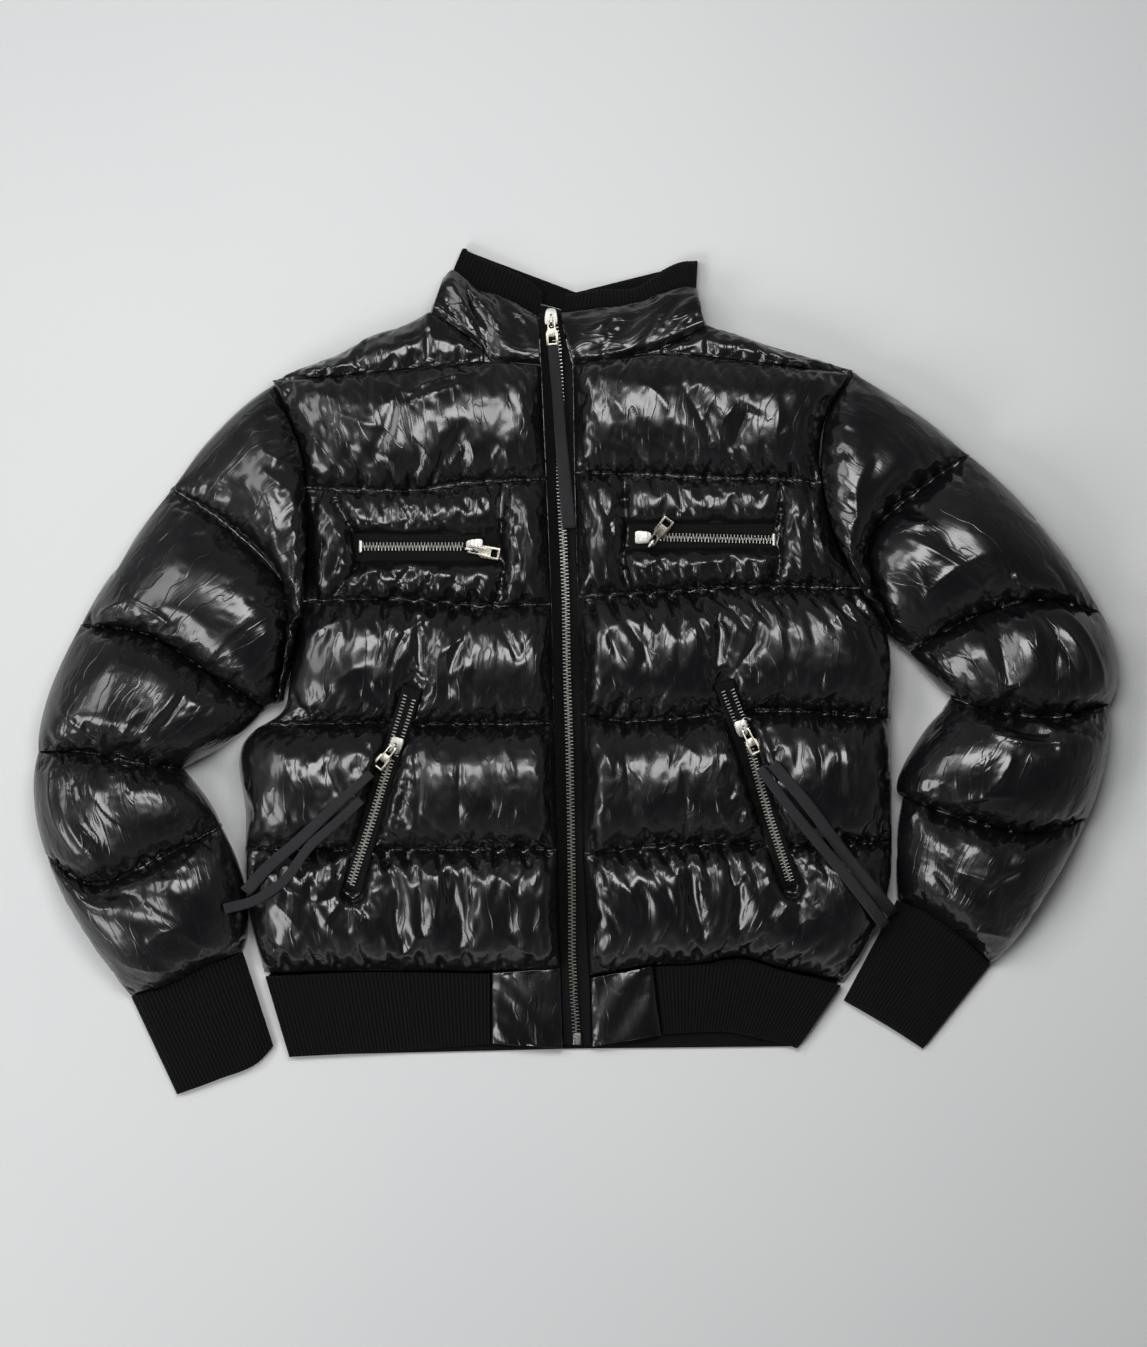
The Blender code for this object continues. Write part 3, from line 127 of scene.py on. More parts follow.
SLEEVES = (
    [  # kind, outer edge, second point, third point, inner edge, crown z
        (0, (-266.5, 254), (-243, 197.5), (-237.5, 112), (-258, -25), 34),
        (1, (-308, 222), (-274.5, 171), (-244, 90), (-261.5, -27), 66),
        (0, (-357.5, 163), (-308, 130.5), (-256, 74.5), (-265, -27.5), 31),
        (1, (-403, 99), (-346.5, 64), (-281.5, 18), (-269.5, -29.5), 72),
        (0, (-438, 42), (-382, 35.5), (-318.5, -3), (-274.5, -33), 31),
        (1, (-466.5, -24), (-414.5, -22.5), (-355.5, -43.5), (-297.5, -55), 70),
        (0, (-475, -70), (-433, -70), (-389, -79), (-347.5, -85), 31),
        (1, (-478, -112), (-432, -117.5), (-375, -116.5), (-324.5, -113), 64),
        (0, (-468, -160.5), (-427.5, -186), (-370.5, -165), (-312.5, -135), 31),
        (1, (-442, -218), (-401.5, -232), (-343, -211), (-292, -196.5), 56),
        (0, (-395, -286.5), (-362.5, -277), (-326.5, -258.5), (-295.5, -247.5), 15),
    ],
    [
        (0, (245, 265.5), (219, 218), (223.5, 134), (272, 37.5), 34),
        (1, (295.5, 233), (257, 187), (241, 112), (277, 33), 66),
        (0, (347.5, 192.5), (304.5, 163), (257, 115), (281.5, 28.5), 31),
        (1, (412, 129), (354, 102.5), (295.5, 69), (287, 23.5), 70),
        (0, (464, 52.5), (408.5, 64), (345, 47), (294, 17), 31),
        (1, (478, 9), (426, 11), (366, 4), (315, -6.5), 66),
        (0, (471.5, -27.5), (422.5, -39), (375, -35), (331, -22.5), 31),
        (1, (467.5, -75), (408.5, -82.5), (346.5, -80.5), (289.5, -82.5), 68),
        (0, (452.5, -128), (399.5, -141), (342.5, -129), (288, -109.5), 31),
        (1, (408.5, -210), (368, -193), (324, -172), (283.5, -156), 60),
        (0, (368, -258.5), (345, -236.5), (315, -213.5), (285, -201), 15),
    ],
)
CUFF_ENDS = (  # the free end of each cuff, from the outer edge to the inner: left, right
    [(-354, -374.5), (-317.5, -361), (-281.5, -345.5), (-268.5, -331.5)],
    [(308, -334), (283.5, -318), (258.5, -303), (237.5, -291)],
)
HEM_FRONTS = (  # seam and free edge of the band's front parts, from the tab to the fold
    ([(-76.5, -267), (-184, -266), (-275.5, -269.5)], [(-76.5, -329.5), (-171.5, -336.5), (-254.5, -341)]),
    (
        [(70.5, -261), (110, -259), (145, -254), (180.5, -263.5), (235, -277.5)],
        [(77.5, -321), (110, -319), (134, -319), (169, -326), (197, -333)],
    ),
)
TABS = (  # corners: seam at the zip, seam at the band, free edge at the band, free edge at the zip
    ((-13, -262), (-75, -266), (-75, -328.5), (-11.5, -333)),
    ((13, -270.5), (68.5, -260), (75.5, -321), (14, -331.5)),
)
ZIP_LINE = (  # the main zip's teeth, from the collar to the hem
    (-20, 312), (-16.5, 288), (-15, 266), (-14, 244), (-14, 168.5), (-11.5, 121), (-9, 64),
    (-8, -0.5), (-6, -59.5), (-4.5, -130.5), (-3.5, -201), (-3.5, -248.5), (-2, -284), (1, -332),
)
FOLDS = (  # the main creases in the padded cloth: start, end, half width, depth
    # under the yoke
    ((98.5, 250.5), (130, 185), 11, 6), ((130, 185), (155, 236.5), 11, 5),
    ((17.5, 213.5), (81, 180), 9, 3), ((-155, 240), (-179.5, 176.5), 10, 4),
    ((-93.5, 222), (-119.5, 174.5), 9, 4), ((-216.5, 204.5), (-162, 164), 11, 5),
    # between the pocket line and the waist line
    ((-168, 53), (-179.5, -15.5), 10, 5), ((-134, 53), (-137.5, -6.5), 10, 6),
    ((-93.5, 53), (-114.5, -13.5), 9, 4), ((56.5, 60.5), (67, -15.5), 10, 5),
    ((123, 60.5), (126.5, -3), 12, 7), ((162, 55), (151.5, 4), 10, 5),
    # under the waist line
    ((-227, -59.5), (-197, -145.5), 12, 4), ((-93.5, -55), (-67, -147.5), 12, 4),
    ((56.5, -50.5), (46, -149), 12, 4), ((229, -50.5), (239.5, -140.5), 12, 4),
    # over the hem
    ((-162, -167), (-151.5, -251), 10, 5), ((-109, -165), (-100.5, -251), 10, 6),
    ((-53.5, -165), (-60, -253), 10, 4), ((56.5, -167), (61.5, -246), 10, 4),
    ((100.5, -165), (112.5, -242.5), 11, 7), ((146, -163), (139, -242.5), 10, 5),
    # left sleeve
    ((-454, -80.5), (-350, -86), 12, 6), ((-445.5, -55), (-357.5, -77), 12, 5),
    ((-410, -182.5), (-331, -226.5), 12, 6), ((-339.5, 178), (-260.5, 134), 12, 5),
    ((-383.5, 64), (-295.5, 15.5), 12, 4),
    # right sleeve
    ((334.5, -15.5), (426, -63), 13, 6), ((360, 64), (382, -15.5), 12, 6),
    ((422.5, 55), (413.5, -29.5), 12, 5), ((285, 152), (360, 76), 12, 5),
    ((267.5, 222), (251.5, 152), 12, 5), ((307, -121), (360, -182.5), 12, 5),
    ((373, -147.5), (382, -226.5), 12, 5),
)
CHEST_TAPES = (  # left, right: x at both ends, y at both edges
    ((-197, -67), (97, 122)),
    ((46, 174), (108, 130.5)),
)
CHEST_TEETH = ([(-189, 110.5), (-98.5, 110.5)], [(70.5, 119), (173.5, 116.5)])
CHEST_SLIDERS = (  # slider, the way it faces, the pull's bar, the pull's far end, tilt
    ((-89, 111.5), 0.0, (-93.5, 108), (-68, 103.5), 4.0),
    ((59, 118.5), 180.0, (66, 113), (82.5, 135), 10.0),
)
HAND_TAPES = (  # left, right
    [(-142.5, -13.5), (-162, -72.5), (-179.5, -131.5), (-196, -191.5)],
    [(129.5, -8.5), (148, -64), (168, -125.5), (189, -188)],
)
HAND_TEETH = (
    [(-162, -74.5), (-179.5, -131.5), (-198, -187)],
    [(150.5, -59.5), (169, -125.5), (188.5, -184.5)],
)
HAND_SLIDERS = (  # slider, the pull's bar, the pull's far end
    ((-157.5, -64), (-160, -65.5), (-175, -85)),
    ((145, -49), (148, -50.5), (159.5, -74.5)),
)
RIBBONS = {  # name: path, width at the start and the end
    "ribbon_main": ([(-20.5, 287.5), (-17.5, 257.5), (-12.5, 196), (-6, 127)], (9.0, 12.0)),
    "ribbon_left_a": (
        [(-178, -87.5), (-205, -112), (-243, -147.5), (-269.5, -170.5), (-290.5, -193)],
        (8.0, 11.0),
    ),
    "ribbon_left_b": (
        [(-186.5, -110.5), (-207.5, -130), (-230.5, -150), (-257, -183.5), (-281.5, -199.5), (-308, -207)],
        (8.0, 9.0),
    ),
    "ribbon_right_a": ([(170.5, -79), (199, -112), (241, -167), (280, -213.5)], (10.0, 11.0)),
    "ribbon_right_b": ([(159.5, -83), (186.5, -118.5), (234, -175.5), (273, -224)], (8.0, 11.0)),
}
COLLAR_LEVELS = (  # share of the height from the seam up, levels of the slit, the front and the back
    (0, 9.5, 31, 0), (0.12, 9.3, 37, 0), (0.35, 8.8, 35, 0),
    (0.6, 8, 31, 0), (0.85, 7, 25, 0), (1, 6.2, 17, 0),
)
RIB_LEVELS = ((6, 13.5, 0), (5.2, 12.5, 0), (4.6, 11, 0), (4, 8, 0))  # the same three levels, evenly spaced
HEM_LEVELS = ((4.0, 10.5, 0), (3.9, 10.8, 0), (3.6, 9.6, 0), (3.5, 8.6, 0), (3.4, 7.0, 0))
ZIP_LEVEL = (  # y, level of the underside of the main zip's tape
    (-333, 4.7), (-260, 8.0), (-155.5, 21.5), (269.5, 22.5), (292.5, 21.5), (319, 19.0),
)
BACK_YS = {  # y of a band's back at its first and last row: at the left fold, in the middle, at the right
    "collar_shell": ((316.5, 312, 305), (345.5, 318.5, 327)),
    "collar_rib": ((346.5, 319.5, 328.5), (373.5, 337.5, 363)),
    "hem_rib": ((-265, -264, -265.5), (-340, -334, -332)),
}
MAIN_SLIDER = (-22, 313.5)
MAIN_PULL = ((-22, 311), (-20.5, 287.5))
SLIDER_SHAPE = ((-7.5, -3.6), (-3, -5.4), (4, -6), (7.5, -5), (7.5, 5), (4, 6), (-3, 5.4), (-7.5, 3.6))
HAND_CREASES = (  # x, y at the start and the end, half width, height (sunk where below 0), bend aside
    (-150.5, 242.5, -86, 262, 2.6, 2, 4), (-155, 231, -93.5, 253, 2.2, 1.6, 3),
    (-203.5, 191.5, -177, 160.5, 3, -2, 2), (-276.5, 200, -243, 178, 3, 1.8, -3),
    (-276.5, 180, -238.5, 152, 3, 1.8, -2), (-276.5, 165, -260.5, 116.5, 3, 1.6, 3),
    (-93.5, 204.5, -86, 167.5, 2.2, 1.4, 1), (-77.5, 200, -74, 169.5, 2.2, -1.4, 1),
    (-60.5, 204.5, -56.5, 171, 2.2, 1.4, -1), (-45, 200, -40.5, 169.5, 2.4, -1.2, 1),
    (-119.5, 213.5, -126.5, 174, 3, 1.6, 3), (-150.5, 213.5, -119.5, 169.5, 3.5, 1.6, 4),
    (-216.5, 231, -159.5, 213.5, 3, 1.4, -4), (-190, 257.5, -137.5, 240, 3, 1.2, 3),
    (-216.5, 130, -197, 102.5, 3, 2, 2), (-203.5, 99, -197, 64, 3, 1.8, 2),
    (-181.5, 152, -179.5, 134, 2.4, -1.6, 1), (-155, 153.5, -153, 134, 2.4, -1.4, 1),
    (-133, 152, -130, 132.5, 2.4, -1.6, 0), (-106.5, 152, -106.5, 134, 2.2, 1.2, 0),
    (-190, 83, -162, 90, 2.4, 1.6, 2), (-162, 90, -146, 71, 2.4, -1.8, 0),
    (-140, 94.5, -137.5, 65.5, 2.4, -1.8, 0), (-106.5, 92, -104, 65.5, 2.4, -1.6, 0),
    (-133, 83, -111, 88.5, 2.2, 1.4, 1), (-45, 152, -33.5, 101, 3, 1.8, -3),
    (-56.5, 134, -49.5, 72.5, 3, -1.8, 2), (-232.5, 28.5, -199, 48, 3, 2, 3),
    (-174, -24, -153, 55, 3, 2.2, 9), (-163.5, -15.5, -133, 50.5, 3, -2.2, 8),
    (-159.5, 28.5, -111, 53, 2.6, 1.8, 3), (-119.5, 15.5, -84.5, 46, 2.6, 1.8, -2),
    (-102, 46, -93.5, 6.5, 2.6, -1.6, 2), (-67, 46, -49.5, 9, 3, -2.2, 0), (-49.5, 9, -30, 50.5, 3, -2, 0),
    (-216.5, -15.5, -177, 6.5, 3, 1.2, 4), (-207.5, 59.5, -199, 20, 3, -1.8, 3),
    (93.5, 253, 109, 218, 3, -2, 0), (109, 218, 123, 247, 3, 1.8, 0), (126.5, 218, 140, 235.5, 2.6, 1.8, 0),
    (140, 235.5, 162, 220.5, 2.6, -1.8, 0), (176, 240, 172.5, 203, 3, 2, 2),
    (172.5, 203, 190, 213.5, 2.4, 1.6, 0), (190, 213.5, 210.5, 185, 2.4, 1.6, 0),
    (65, 204.5, 100.5, 174, 3, -2.2, 2), (126.5, 204.5, 140, 174, 3, -2.2, 1),
    (8, 191.5, 10.5, 167.5, 2.2, 1.2, 0), (21, 196, 24, 167.5, 2.2, -1.3, 1),
    (34.5, 196, 35, 167.5, 2.2, 1.2, 0), (49.5, 197.5, 51, 167.5, 2.2, -1.3, 0),
    (63.5, 194, 65, 167.5, 2.2, 1.2, 0), (25.5, 244, 43, 222, 3, 1.2, 2), (56.5, 253, 81, 226.5, 3, 1.4, 4),
    (21, 152, 34.5, 99, 3, -2, 3), (87, 159, 135.5, 161.5, 2.6, 1.6, 1),
    (135.5, 153.5, 148.5, 167.5, 2.4, 1.6, 0), (148.5, 167.5, 163.5, 153.5, 2.4, -1.6, 0),
    (163.5, 153.5, 184, 165, 2.4, 1.6, 0), (56.5, 88.5, 82.5, 102.5, 2.6, 1.8, 2),
    (100.5, 93.5, 140, 98, 2.6, 1.6, 1), (140, 99, 141.5, 65.5, 2.4, -1.8, 0),
    (169, 99, 170.5, 65.5, 2.4, -1.8, 0), (69.5, 90, 74, 64, 2.4, -1.6, 0),
    (109, 88.5, 112, 62, 2.4, -1.4, 0), (188.5, 143, 197, 90, 3, 1.8, 3),
    (201.5, 169.5, 207.5, 99, 3, -1.8, 3), (23, 28.5, 49.5, 48, 3, 1.2, 4),
    (56.5, 62, 69.5, 28.5, 2.6, 1.8, 0), (69.5, 28.5, 84.5, 59.5, 2.6, 1.8, 0),
    (91.5, 28.5, 106.5, 60.5, 2.6, -1.8, 0), (106.5, 60.5, 122.5, 27, 2.6, 1.8, 0),
    (62.5, 64, 65, 20, 3, -2.4, 1), (100.5, 42, 125, -10, 3.4, 2, 3), (144.5, 53, 128.5, -10, 3.4, 2.2, -3),
    (162, 28.5, 132, -13.5, 3, -2, -3), (109, 11, 123, -15.5, 3, -2, 1), (223.5, 42, 241, 64, 3.4, 1.6, 2),
    (-141.5, -59.5, -139, -138.5, 3.4, -2, 3), (-97.5, -55, -100.5, -152, 3.4, -2, -3),
    (-67, -55, -53.5, -94.5, 3, 1.8, 2), (-119.5, -77, -100.5, -112, 3, 1.2, 3),
    (-253.5, -55, -243, -103.5, 3.4, 1.6, -4), (-234, -138.5, -197, -103.5, 3, 1.6, 4),
    (38.5, -55, 46, -112, 3.4, -1.8, 2), (17.5, -59.5, 31.5, -90, 3, 1.8, 2),
    (74, -55, 109, -77, 3, 1.4, 4), (91.5, -77, 95, -147.5, 3.4, -1.8, 2),
    (122.5, -103.5, 140, -147.5, 3, 1.8, -2), (197, -55, 210.5, -103.5, 3.4, 1.6, 4),
    (236.5, -42, 241, -121, 3.4, 1.6, -4), (-141.5, -160.5, -137.5, -231, 3.4, -2.4, 3),
    (-119.5, -163, -123, -218, 3, 1.8, 2), (-97.5, -163, -93.5, -244, 3.4, -2.4, -2),
    (-75.5, -174, -49.5, -200, 3, 1.8, 3), (-67, -226.5, -31.5, -248.5, 3, 1.8, -3),
    (-203.5, -191.5, -223.5, -222, 2.8, 2, 2), (-203.5, -191.5, -199, -235.5, 2.8, -2, 1),
    (-203.5, -191.5, -177, -222, 2.8, 2, -2), (-203.5, -193, -234, -200, 2.8, -1.6, 2),
    (192.5, -187, 170.5, -222, 2.8, 2, 2), (192.5, -187, 197, -231, 2.8, -2, 1),
    (192.5, -187, 219, -213.5, 2.8, 2, -2), (91.5, -165, 95, -244, 3.4, -2.4, 2),
    (109, -167, 114.5, -226.5, 3, 1.8, -2), (135.5, -167, 134, -248.5, 3.4, -2.4, 2),
    (38.5, -182.5, 56.5, -218, 3, 1.6, 3), (223.5, -165, 241, -235.5, 3.4, 1.8, 4),
    (21, -200, 40.5, -240, 3, -1.6, 2), (-265, -200, -243, -226.5, 3, 1.6, 2),
    (-278, -231, -243, -253, 3, 1.4, 3), (-335.5, -15.5, -276.5, 53, 4, 1.4, 6),
    (-375, -55, -334.5, -15.5, 4, 1.4, 4), (-412, -90, -361.5, -74.5, 3, 4, -6),
    (-419, -79, -375, -57.5, 3, -4, -4), (-452.5, -103.5, -412, -169.5, 3.4, 1.8, -7),
    (-436.5, -94.5, -397, -165, 3, -1.6, -6), (-348.5, -175.5, -326.5, -156, 3, 1.6, 2),
    (-375, -235.5, -346.5, -225, 2.6, 1.8, 2), (-346.5, -225, -320.5, -244, 2.6, 1.8, 0),
    (-291.5, 169.5, -276.5, 134, 3, 1.8, 3), (-331, 169.5, -295.5, 152, 3, -1.6, 3),
    (-357.5, 143, -304.5, 116.5, 3.4, 1.4, 5), (-392.5, 28.5, -339.5, 11, 3.4, 1.4, 5),
    (-454, -24, -410, -59.5, 3.4, 1.6, -5), (-445.5, 28.5, -401.5, 46, 3.4, 1.6, 4),
    (-326.5, 240, -278, 213.5, 3.4, 1.6, -5), (-423.5, -200, -375, -196, 3, -1.6, 4),
    (-401.5, -253, -348.5, -262, 3, 1.6, -3), (-317.5, -103.5, -295.5, -156, 3, 1.4, 3),
    (239.5, 152, 276.5, 203, 4, 1.4, 6), (258.5, 134, 289.5, 178, 3.4, -1.6, 5),
    (280.5, 125.5, 316, 137.5, 3, 2.4, -5), (289.5, 99, 307, 64, 3, 1.8, 3), (302.5, 64, 366, 106, 4, 2, 7),
    (368.5, 101, 382, 62, 4, -2.6, 3), (390.5, -8.5, 463, -59.5, 4, -2.6, -8),
    (360, -52.5, 427.5, -64, 3, 2.4, 3), (427.5, -64, 399.5, -35, 3, 2.2, 0),
    (338, -35, 364.5, -25, 3, 2, 0), (288, -138.5, 320.5, -108, 3.4, 2, 4),
    (324.5, -116.5, 382, -108, 3, 2, 3), (338, -225, 390.5, -237, 3, 2, 3),
    (311.5, -174, 329, -200, 3, -1.8, 2), (417, 46, 448, -6.5, 3.4, 1.6, 6),
    (408.5, 99, 434.5, 55, 3.4, -1.6, 5), (338, 204.5, 364.5, 178, 2.6, 2.2, 2),
    (324.5, 191.5, 342.5, 160.5, 2.6, -2, 2), (289.5, -15.5, 324.5, -42, 3.4, 1.4, 4),
    (373, -156, 417, -130, 3.4, 1.6, 4), (311.5, 28.5, 351, 11, 3.4, 1.6, -4),
    (-199, 282, -159.5, 301.5, 3, 1.8, 3), (-159.5, 288, -119.5, 301.5, 2.6, -1.6, 2),
    (-243, 262, -203.5, 277, 3, 1.6, 2), (126.5, 297, 166.5, 282, 3, 1.8, 3),
    (162, 288, 206, 270.5, 2.6, -1.6, 2), (-457.5, -70, -434.5, -162, 3.4, 2, -12),
    (-442, -75, -409, -157, 3, -2, -12), (-427, -77.5, -383, -141, 3.4, 2, -12),
    (-411.5, -77.5, -388.5, -105.5, 2.6, 3.4, 3), (-402, -78, -378, -100, 2.6, -3, 3),
    (-342, -3, -378, -54, 2.6, 2.8, 3), (-335, -8, -368, -56, 3, -2.8, 3),
    (-372, -30, -398, -60, 2.6, 2, -3), (-425, 44, -390, 62, 2.6, 2.6, 3),
    (-400, 66, -352, 40, 2.6, 2.6, 4), (276.5, 139.5, 315, 126.5, 2.4, 3.4, -4),
    (283, 120, 374, 55.5, 3.4, 2.4, 6), (341.5, 200, 368, 172, 2.6, 3, 3),
    (377.5, 84, 400, 66, 2.4, 3.6, 3), (362, 62, 392, 48, 2.8, -3.2, 2), (406, 75, 464, -22, 3.4, 2, 12),
    (392, 60, 444, -30, 3.4, -2, 10), (361, -51.5, 425, -61, 2.4, 3.6, -6),
    (370, -44, 418, -52, 2.8, -3, -5), (380, -70, 352, -110, 3, 2.4, 4),
    (330, -175, 372, -190, 2.8, 2.4, 3), (350, -200, 392, -172, 2.6, -2.4, 3),
)

SEAM_GAP, HEM_PAD = 0.3, 9.0
CUFF_TOP_Z, CUFF_END_Z, CUFF_LAYER_Z, CUFF_END_LAYER_Z = 14.0, 9.0, 6.0, 4.5  # at the seam, at the free end
TAB_WIDE, TAB_TALL, TAB_Z, TAB_RISE, TAB_UNDER_Z = 60, 65, 9, 5.5, 4.2
HAND_TAPE_WIDTH, TAPE_THICK, TEETH_THICK, RIBBON_THICK = 17.0, 1.5, 2.6, 0.9
POCKET_TAPE_THICK, POCKET_TEETH_THICK, CORD = 1.2, 2.4, 0.8
TEETH_HALF, POCKET_TEETH_HALF = 3.4, 3.6  # half the width of a closed chain
SLIDER_LONG, SLIDER_HIGH, PULL_LONG, SHORT_PULL_LONG = 15.0, 3.4, 28.0, 24.0
THROAT = ((-33.5, 317), (-14, 317))  # the collar's front edges at its top: left, right

IMAGE_PIXELS, PIXEL_MM = (1147, 1347), 0.88  # the rendered image's size, and that of its pixel at the cloth
CAMERA_AT, CAMERA_HIGH, SHARP_Z = (-2.2, -0.9), 3.0, 0.030  # the frame is exact at the level of SHARP_Z
FLOOR_HALF, FLOOR_Z = 4000, -0.4
SQUARE = ((-1, -1), (1, -1), (1, 1), (-1, 1))  # the corners of a square, for what is scaled from it
ROOM_GLOW = (0.26, 0.04)  # how bright the room is near the horizon and overhead
LIGHTS = (  # name, place in m, width, height, watts; each faces the origin
    ("softbox", (0.0, 0.4, 1.35), 0.72, 0.46, 11),
    ("window", (-1.6, 0.8, 2.0), 1.6, 0.8, 22),
    ("side window", (-1.8, -1.3, 1.6), 1.2, 1.2, 34),
)

BOX_SIDES = (  # the chest pocket's panel, its left and right side from the top down: left, right
    (
        [(-213, 153.5), (-196, 124.5), (-192, 93.5), (-214, 65.5)],
        [(-66, 168), (-66, 124.5), (-62.5, 93.5), (-72, 59.5)],
    ),
    ([(43, 175), (43, 124), (41, 96), (48, 70)], [(179, 170), (180, 124), (178, 96), (176, 75)]),
)
STITCH_Z, SIDE_Z, ARMHOLE_Z, NECK_Z, ZIP_EDGE_Z = 31.0, 21.0, 34.0, 37.0, 31.0
LAYER_Z, HEM_LAYER_Z, TAPER_Y, HEM_Y = 18.0, 4.5, -155.5, -266.0
CHEST_ZIP_Z, HAND_ZIP_Z, BOX_SEAM_Z, SLEEVE_LAYER_Z = 37.0, 41.0, 34.5, 17.0
SIDE_ROUND, ZIP_ROUND, BOX_ROUND, VALLEY_ROUND = 45, 20, 15, 10  # how far each rounded edge reaches
SHOULDER_DROP, SHOULDER_REACH = 9.0, 26.0  # how deep the shoulder's corner lies, and over what distance
CREASE_GAIN = 1.2  # by how much the listed creases are deepened
SEAM_FADE, SLEEVE_FADE = 24.0, 16.0  # distance over which the film's folds beside a seam die away
CAST_ANGLE, TOOTH_ANGLE = 30, 50  # edges that turn by more degrees than this stay sharp


# ---------------------------------------------------------------- settings
def linear(code):
    """An sRGB hex colour as linear red, green, blue and alpha."""
    parts = [int(code[i : i + 2], 16) / 255 for i in (1, 3, 5)]
    return (*(c / 12.92 if c <= 0.04045 else ((c + 0.055) / 1.055) ** 2.4 for c in parts), 1.0)


def colour(name, description, code):
    """A colour setting with its default from a hex code."""
    return bpy.props.FloatVectorProperty(
        name=name, description=description, size=4, min=0, max=1, subtype="COLOR", default=linear(code)
    )


def size(name, description, default):
    """A length setting; its default is in mm."""
    return bpy.props.FloatProperty(name=name, description=description, default=default * MM, unit="LENGTH")


class JacketCloth(bpy.types.PropertyGroup):
    """The quilted nylon: its grid, its padding and how much spare cloth it holds."""

    grid: size("Grid", "Spacing of the points that the cloth is worked out on", 3.3)
    pressure: bpy.props.FloatProperty(name="Pressure", description="How hard the padding pushes", default=6.0)
    spare: bpy.props.FloatProperty(
        name="Spare cloth", description="Share by which the shell is cut larger than it lies", default=0.015
    )
    stiffness: bpy.props.FloatProperty(
        name="Stiffness", description="How much the shell resists bending", default=0.3
    )
    pucker: size("Pucker depth", "How deep the gathers beside a stitched seam are", 2.2)
    crush: size("Crush depth", "How deep the small chance folds are", 0.35)
    shell: colour("Shell", "Colour of the coated nylon", "#0c0c0e")


class JacketTrim(bpy.types.PropertyGroup):
    """The knitted bands, zips and ribbons."""

    rib_pitch: size("Rib pitch", "From one knitted rib to the next", 3.6)
    rib_depth: size("Rib depth", "How far a rib stands out of the groove beside it", 1.1)
    tooth_pitch: size("Tooth pitch", "From one tooth to the next on one side of a zip", 3.2)
    knit: colour("Knit", "Colour of the ribbed bands", "#0e0e0f")
    tape: colour("Tape", "Colour of the zip tapes", "#0b0b0c")
    nickel: colour("Nickel", "Colour of the teeth and sliders", "#9d9c97")
    pull: colour("Pulls", "Colour of the brushed pulls", "#827e73")
    ribbon: colour("Ribbon", "Colour of the grosgrain ribbons", "#2f2f31")


# ---------------------------------------------------------------- grids
def along(points, share):
    """Points at the given shares of a polyline's length, on the cubic curve that runs through its corners
    with the slope that its neighbours give."""
    points, share = np.array(points, float), np.asarray(share, float)
    step = np.linalg.norm(np.diff(points, axis=0), axis=1)
    at = np.append(0, np.cumsum(step)) / step.sum()
    slope = np.gradient(points, at, axis=0)
    k = np.clip(np.searchsorted(at, share, side="right") - 1, 0, len(at) - 2)
    width = (at[k + 1] - at[k])[..., None]
    t = ((share - at[k]) / (at[k + 1] - at[k]))[..., None]
    return (
        (2 * t**3 - 3 * t**2 + 1) * points[k]
        + (t**3 - 2 * t**2 + t) * width * slope[k]
        + (3 * t**2 - 2 * t**3) * points[k + 1]
        + (t**3 - t**2) * width * slope[k + 1]
    )


def length_of(points):
    """The length of a polyline."""
    return np.linalg.norm(np.diff(np.array(points, float), axis=0), axis=1).sum()


def eased(count, gather=0.45):
    """Shares from 0 to 1 that lie closer together near both ends: s less a part of a full turn's sine."""
    s = np.linspace(0, 1, count)
    return s - gather * np.sin(2 * np.pi * s) / (2 * np.pi)


def crown(share, power=2.4):
    """The rise of a stuffed channel: 0 at both stitched edges and 1 in the middle."""
    return np.clip(1 - np.abs(2 * share - 1) ** power, 0, 1) ** 0.55


def roll(distance, reach):
    """A quarter-round edge: 0 at the edge and 1 at reach from it."""
    return np.sqrt(1 - (1 - np.clip(distance / reach, 0, 1)) ** 2)


def smooth(value, low, high):
    """0 up to low, 1 from high on, and an even S between them."""
    t = np.clip((value - low) / (high - low), 0, 1)
    return t * t * (3 - 2 * t)


def layer_z(y):
    """The level at which fronts and back meet: flat, then falling from the low quilt line to the hem."""
    return LAYER_Z - np.clip(TAPER_Y - y, 0, None) * (LAYER_Z - HEM_LAYER_Z) / (TAPER_Y - HEM_Y)


def near(plan, path, count=60):
    """For each place in plan its distance from a path and the share of the path beside it."""
    line = along(path, np.linspace(0, 1, count))
    gaps = np.linalg.norm(plan[..., None, :] - line, axis=-1)
    best = gaps.argmin(-1)
    return gaps.min(-1), best / (count - 1)


def gathers(run, distance, seed, reach=11.0, waves=10, least=5):
    """The puckers beside a stitched seam: cosines of uneven wavelength along it, each dying away across it
    over a distance in proportion to its wavelength, and the sum bent so that its ridges are sharp."""
    draw = np.random.default_rng(seed)
    total = np.zeros(np.broadcast(run, distance).shape)
    for _ in range(waves):
        wavelength, phase, weight = draw.uniform(least, 24), draw.uniform(0, 2 * np.pi), draw.uniform(0.5, 1)
        lean, share = draw.uniform(-0.7, 0.7), wavelength / 15
        fade = np.exp(-distance / (reach * share)) * weight * share
        total = total + fade * np.cos(2 * np.pi * (run + lean * distance) / wavelength + phase)
    total = total / np.sqrt(waves)
    return (0.6 * total + 0.15 - 0.6 * np.sqrt(total**2 + 0.06)) * smooth(distance, 0, 2.5)


def waves_over(plan, seed, count=12):
    """The unevenness of the padding: cosines of 28 to 90 mm across the cloth in chance directions."""
    draw = np.random.default_rng(seed)
    total = np.zeros(plan.shape[:-1])
    for _ in range(count):
        wavelength, turn, phase = draw.uniform(28, 90), draw.uniform(0, np.pi), draw.uniform(0, 2 * np.pi)
        way = np.array([np.cos(turn), np.sin(turn)])
        total += wavelength / 150 * np.cos(2 * np.pi * (plan @ way) / wavelength + phase)
    return total / np.sqrt(count)


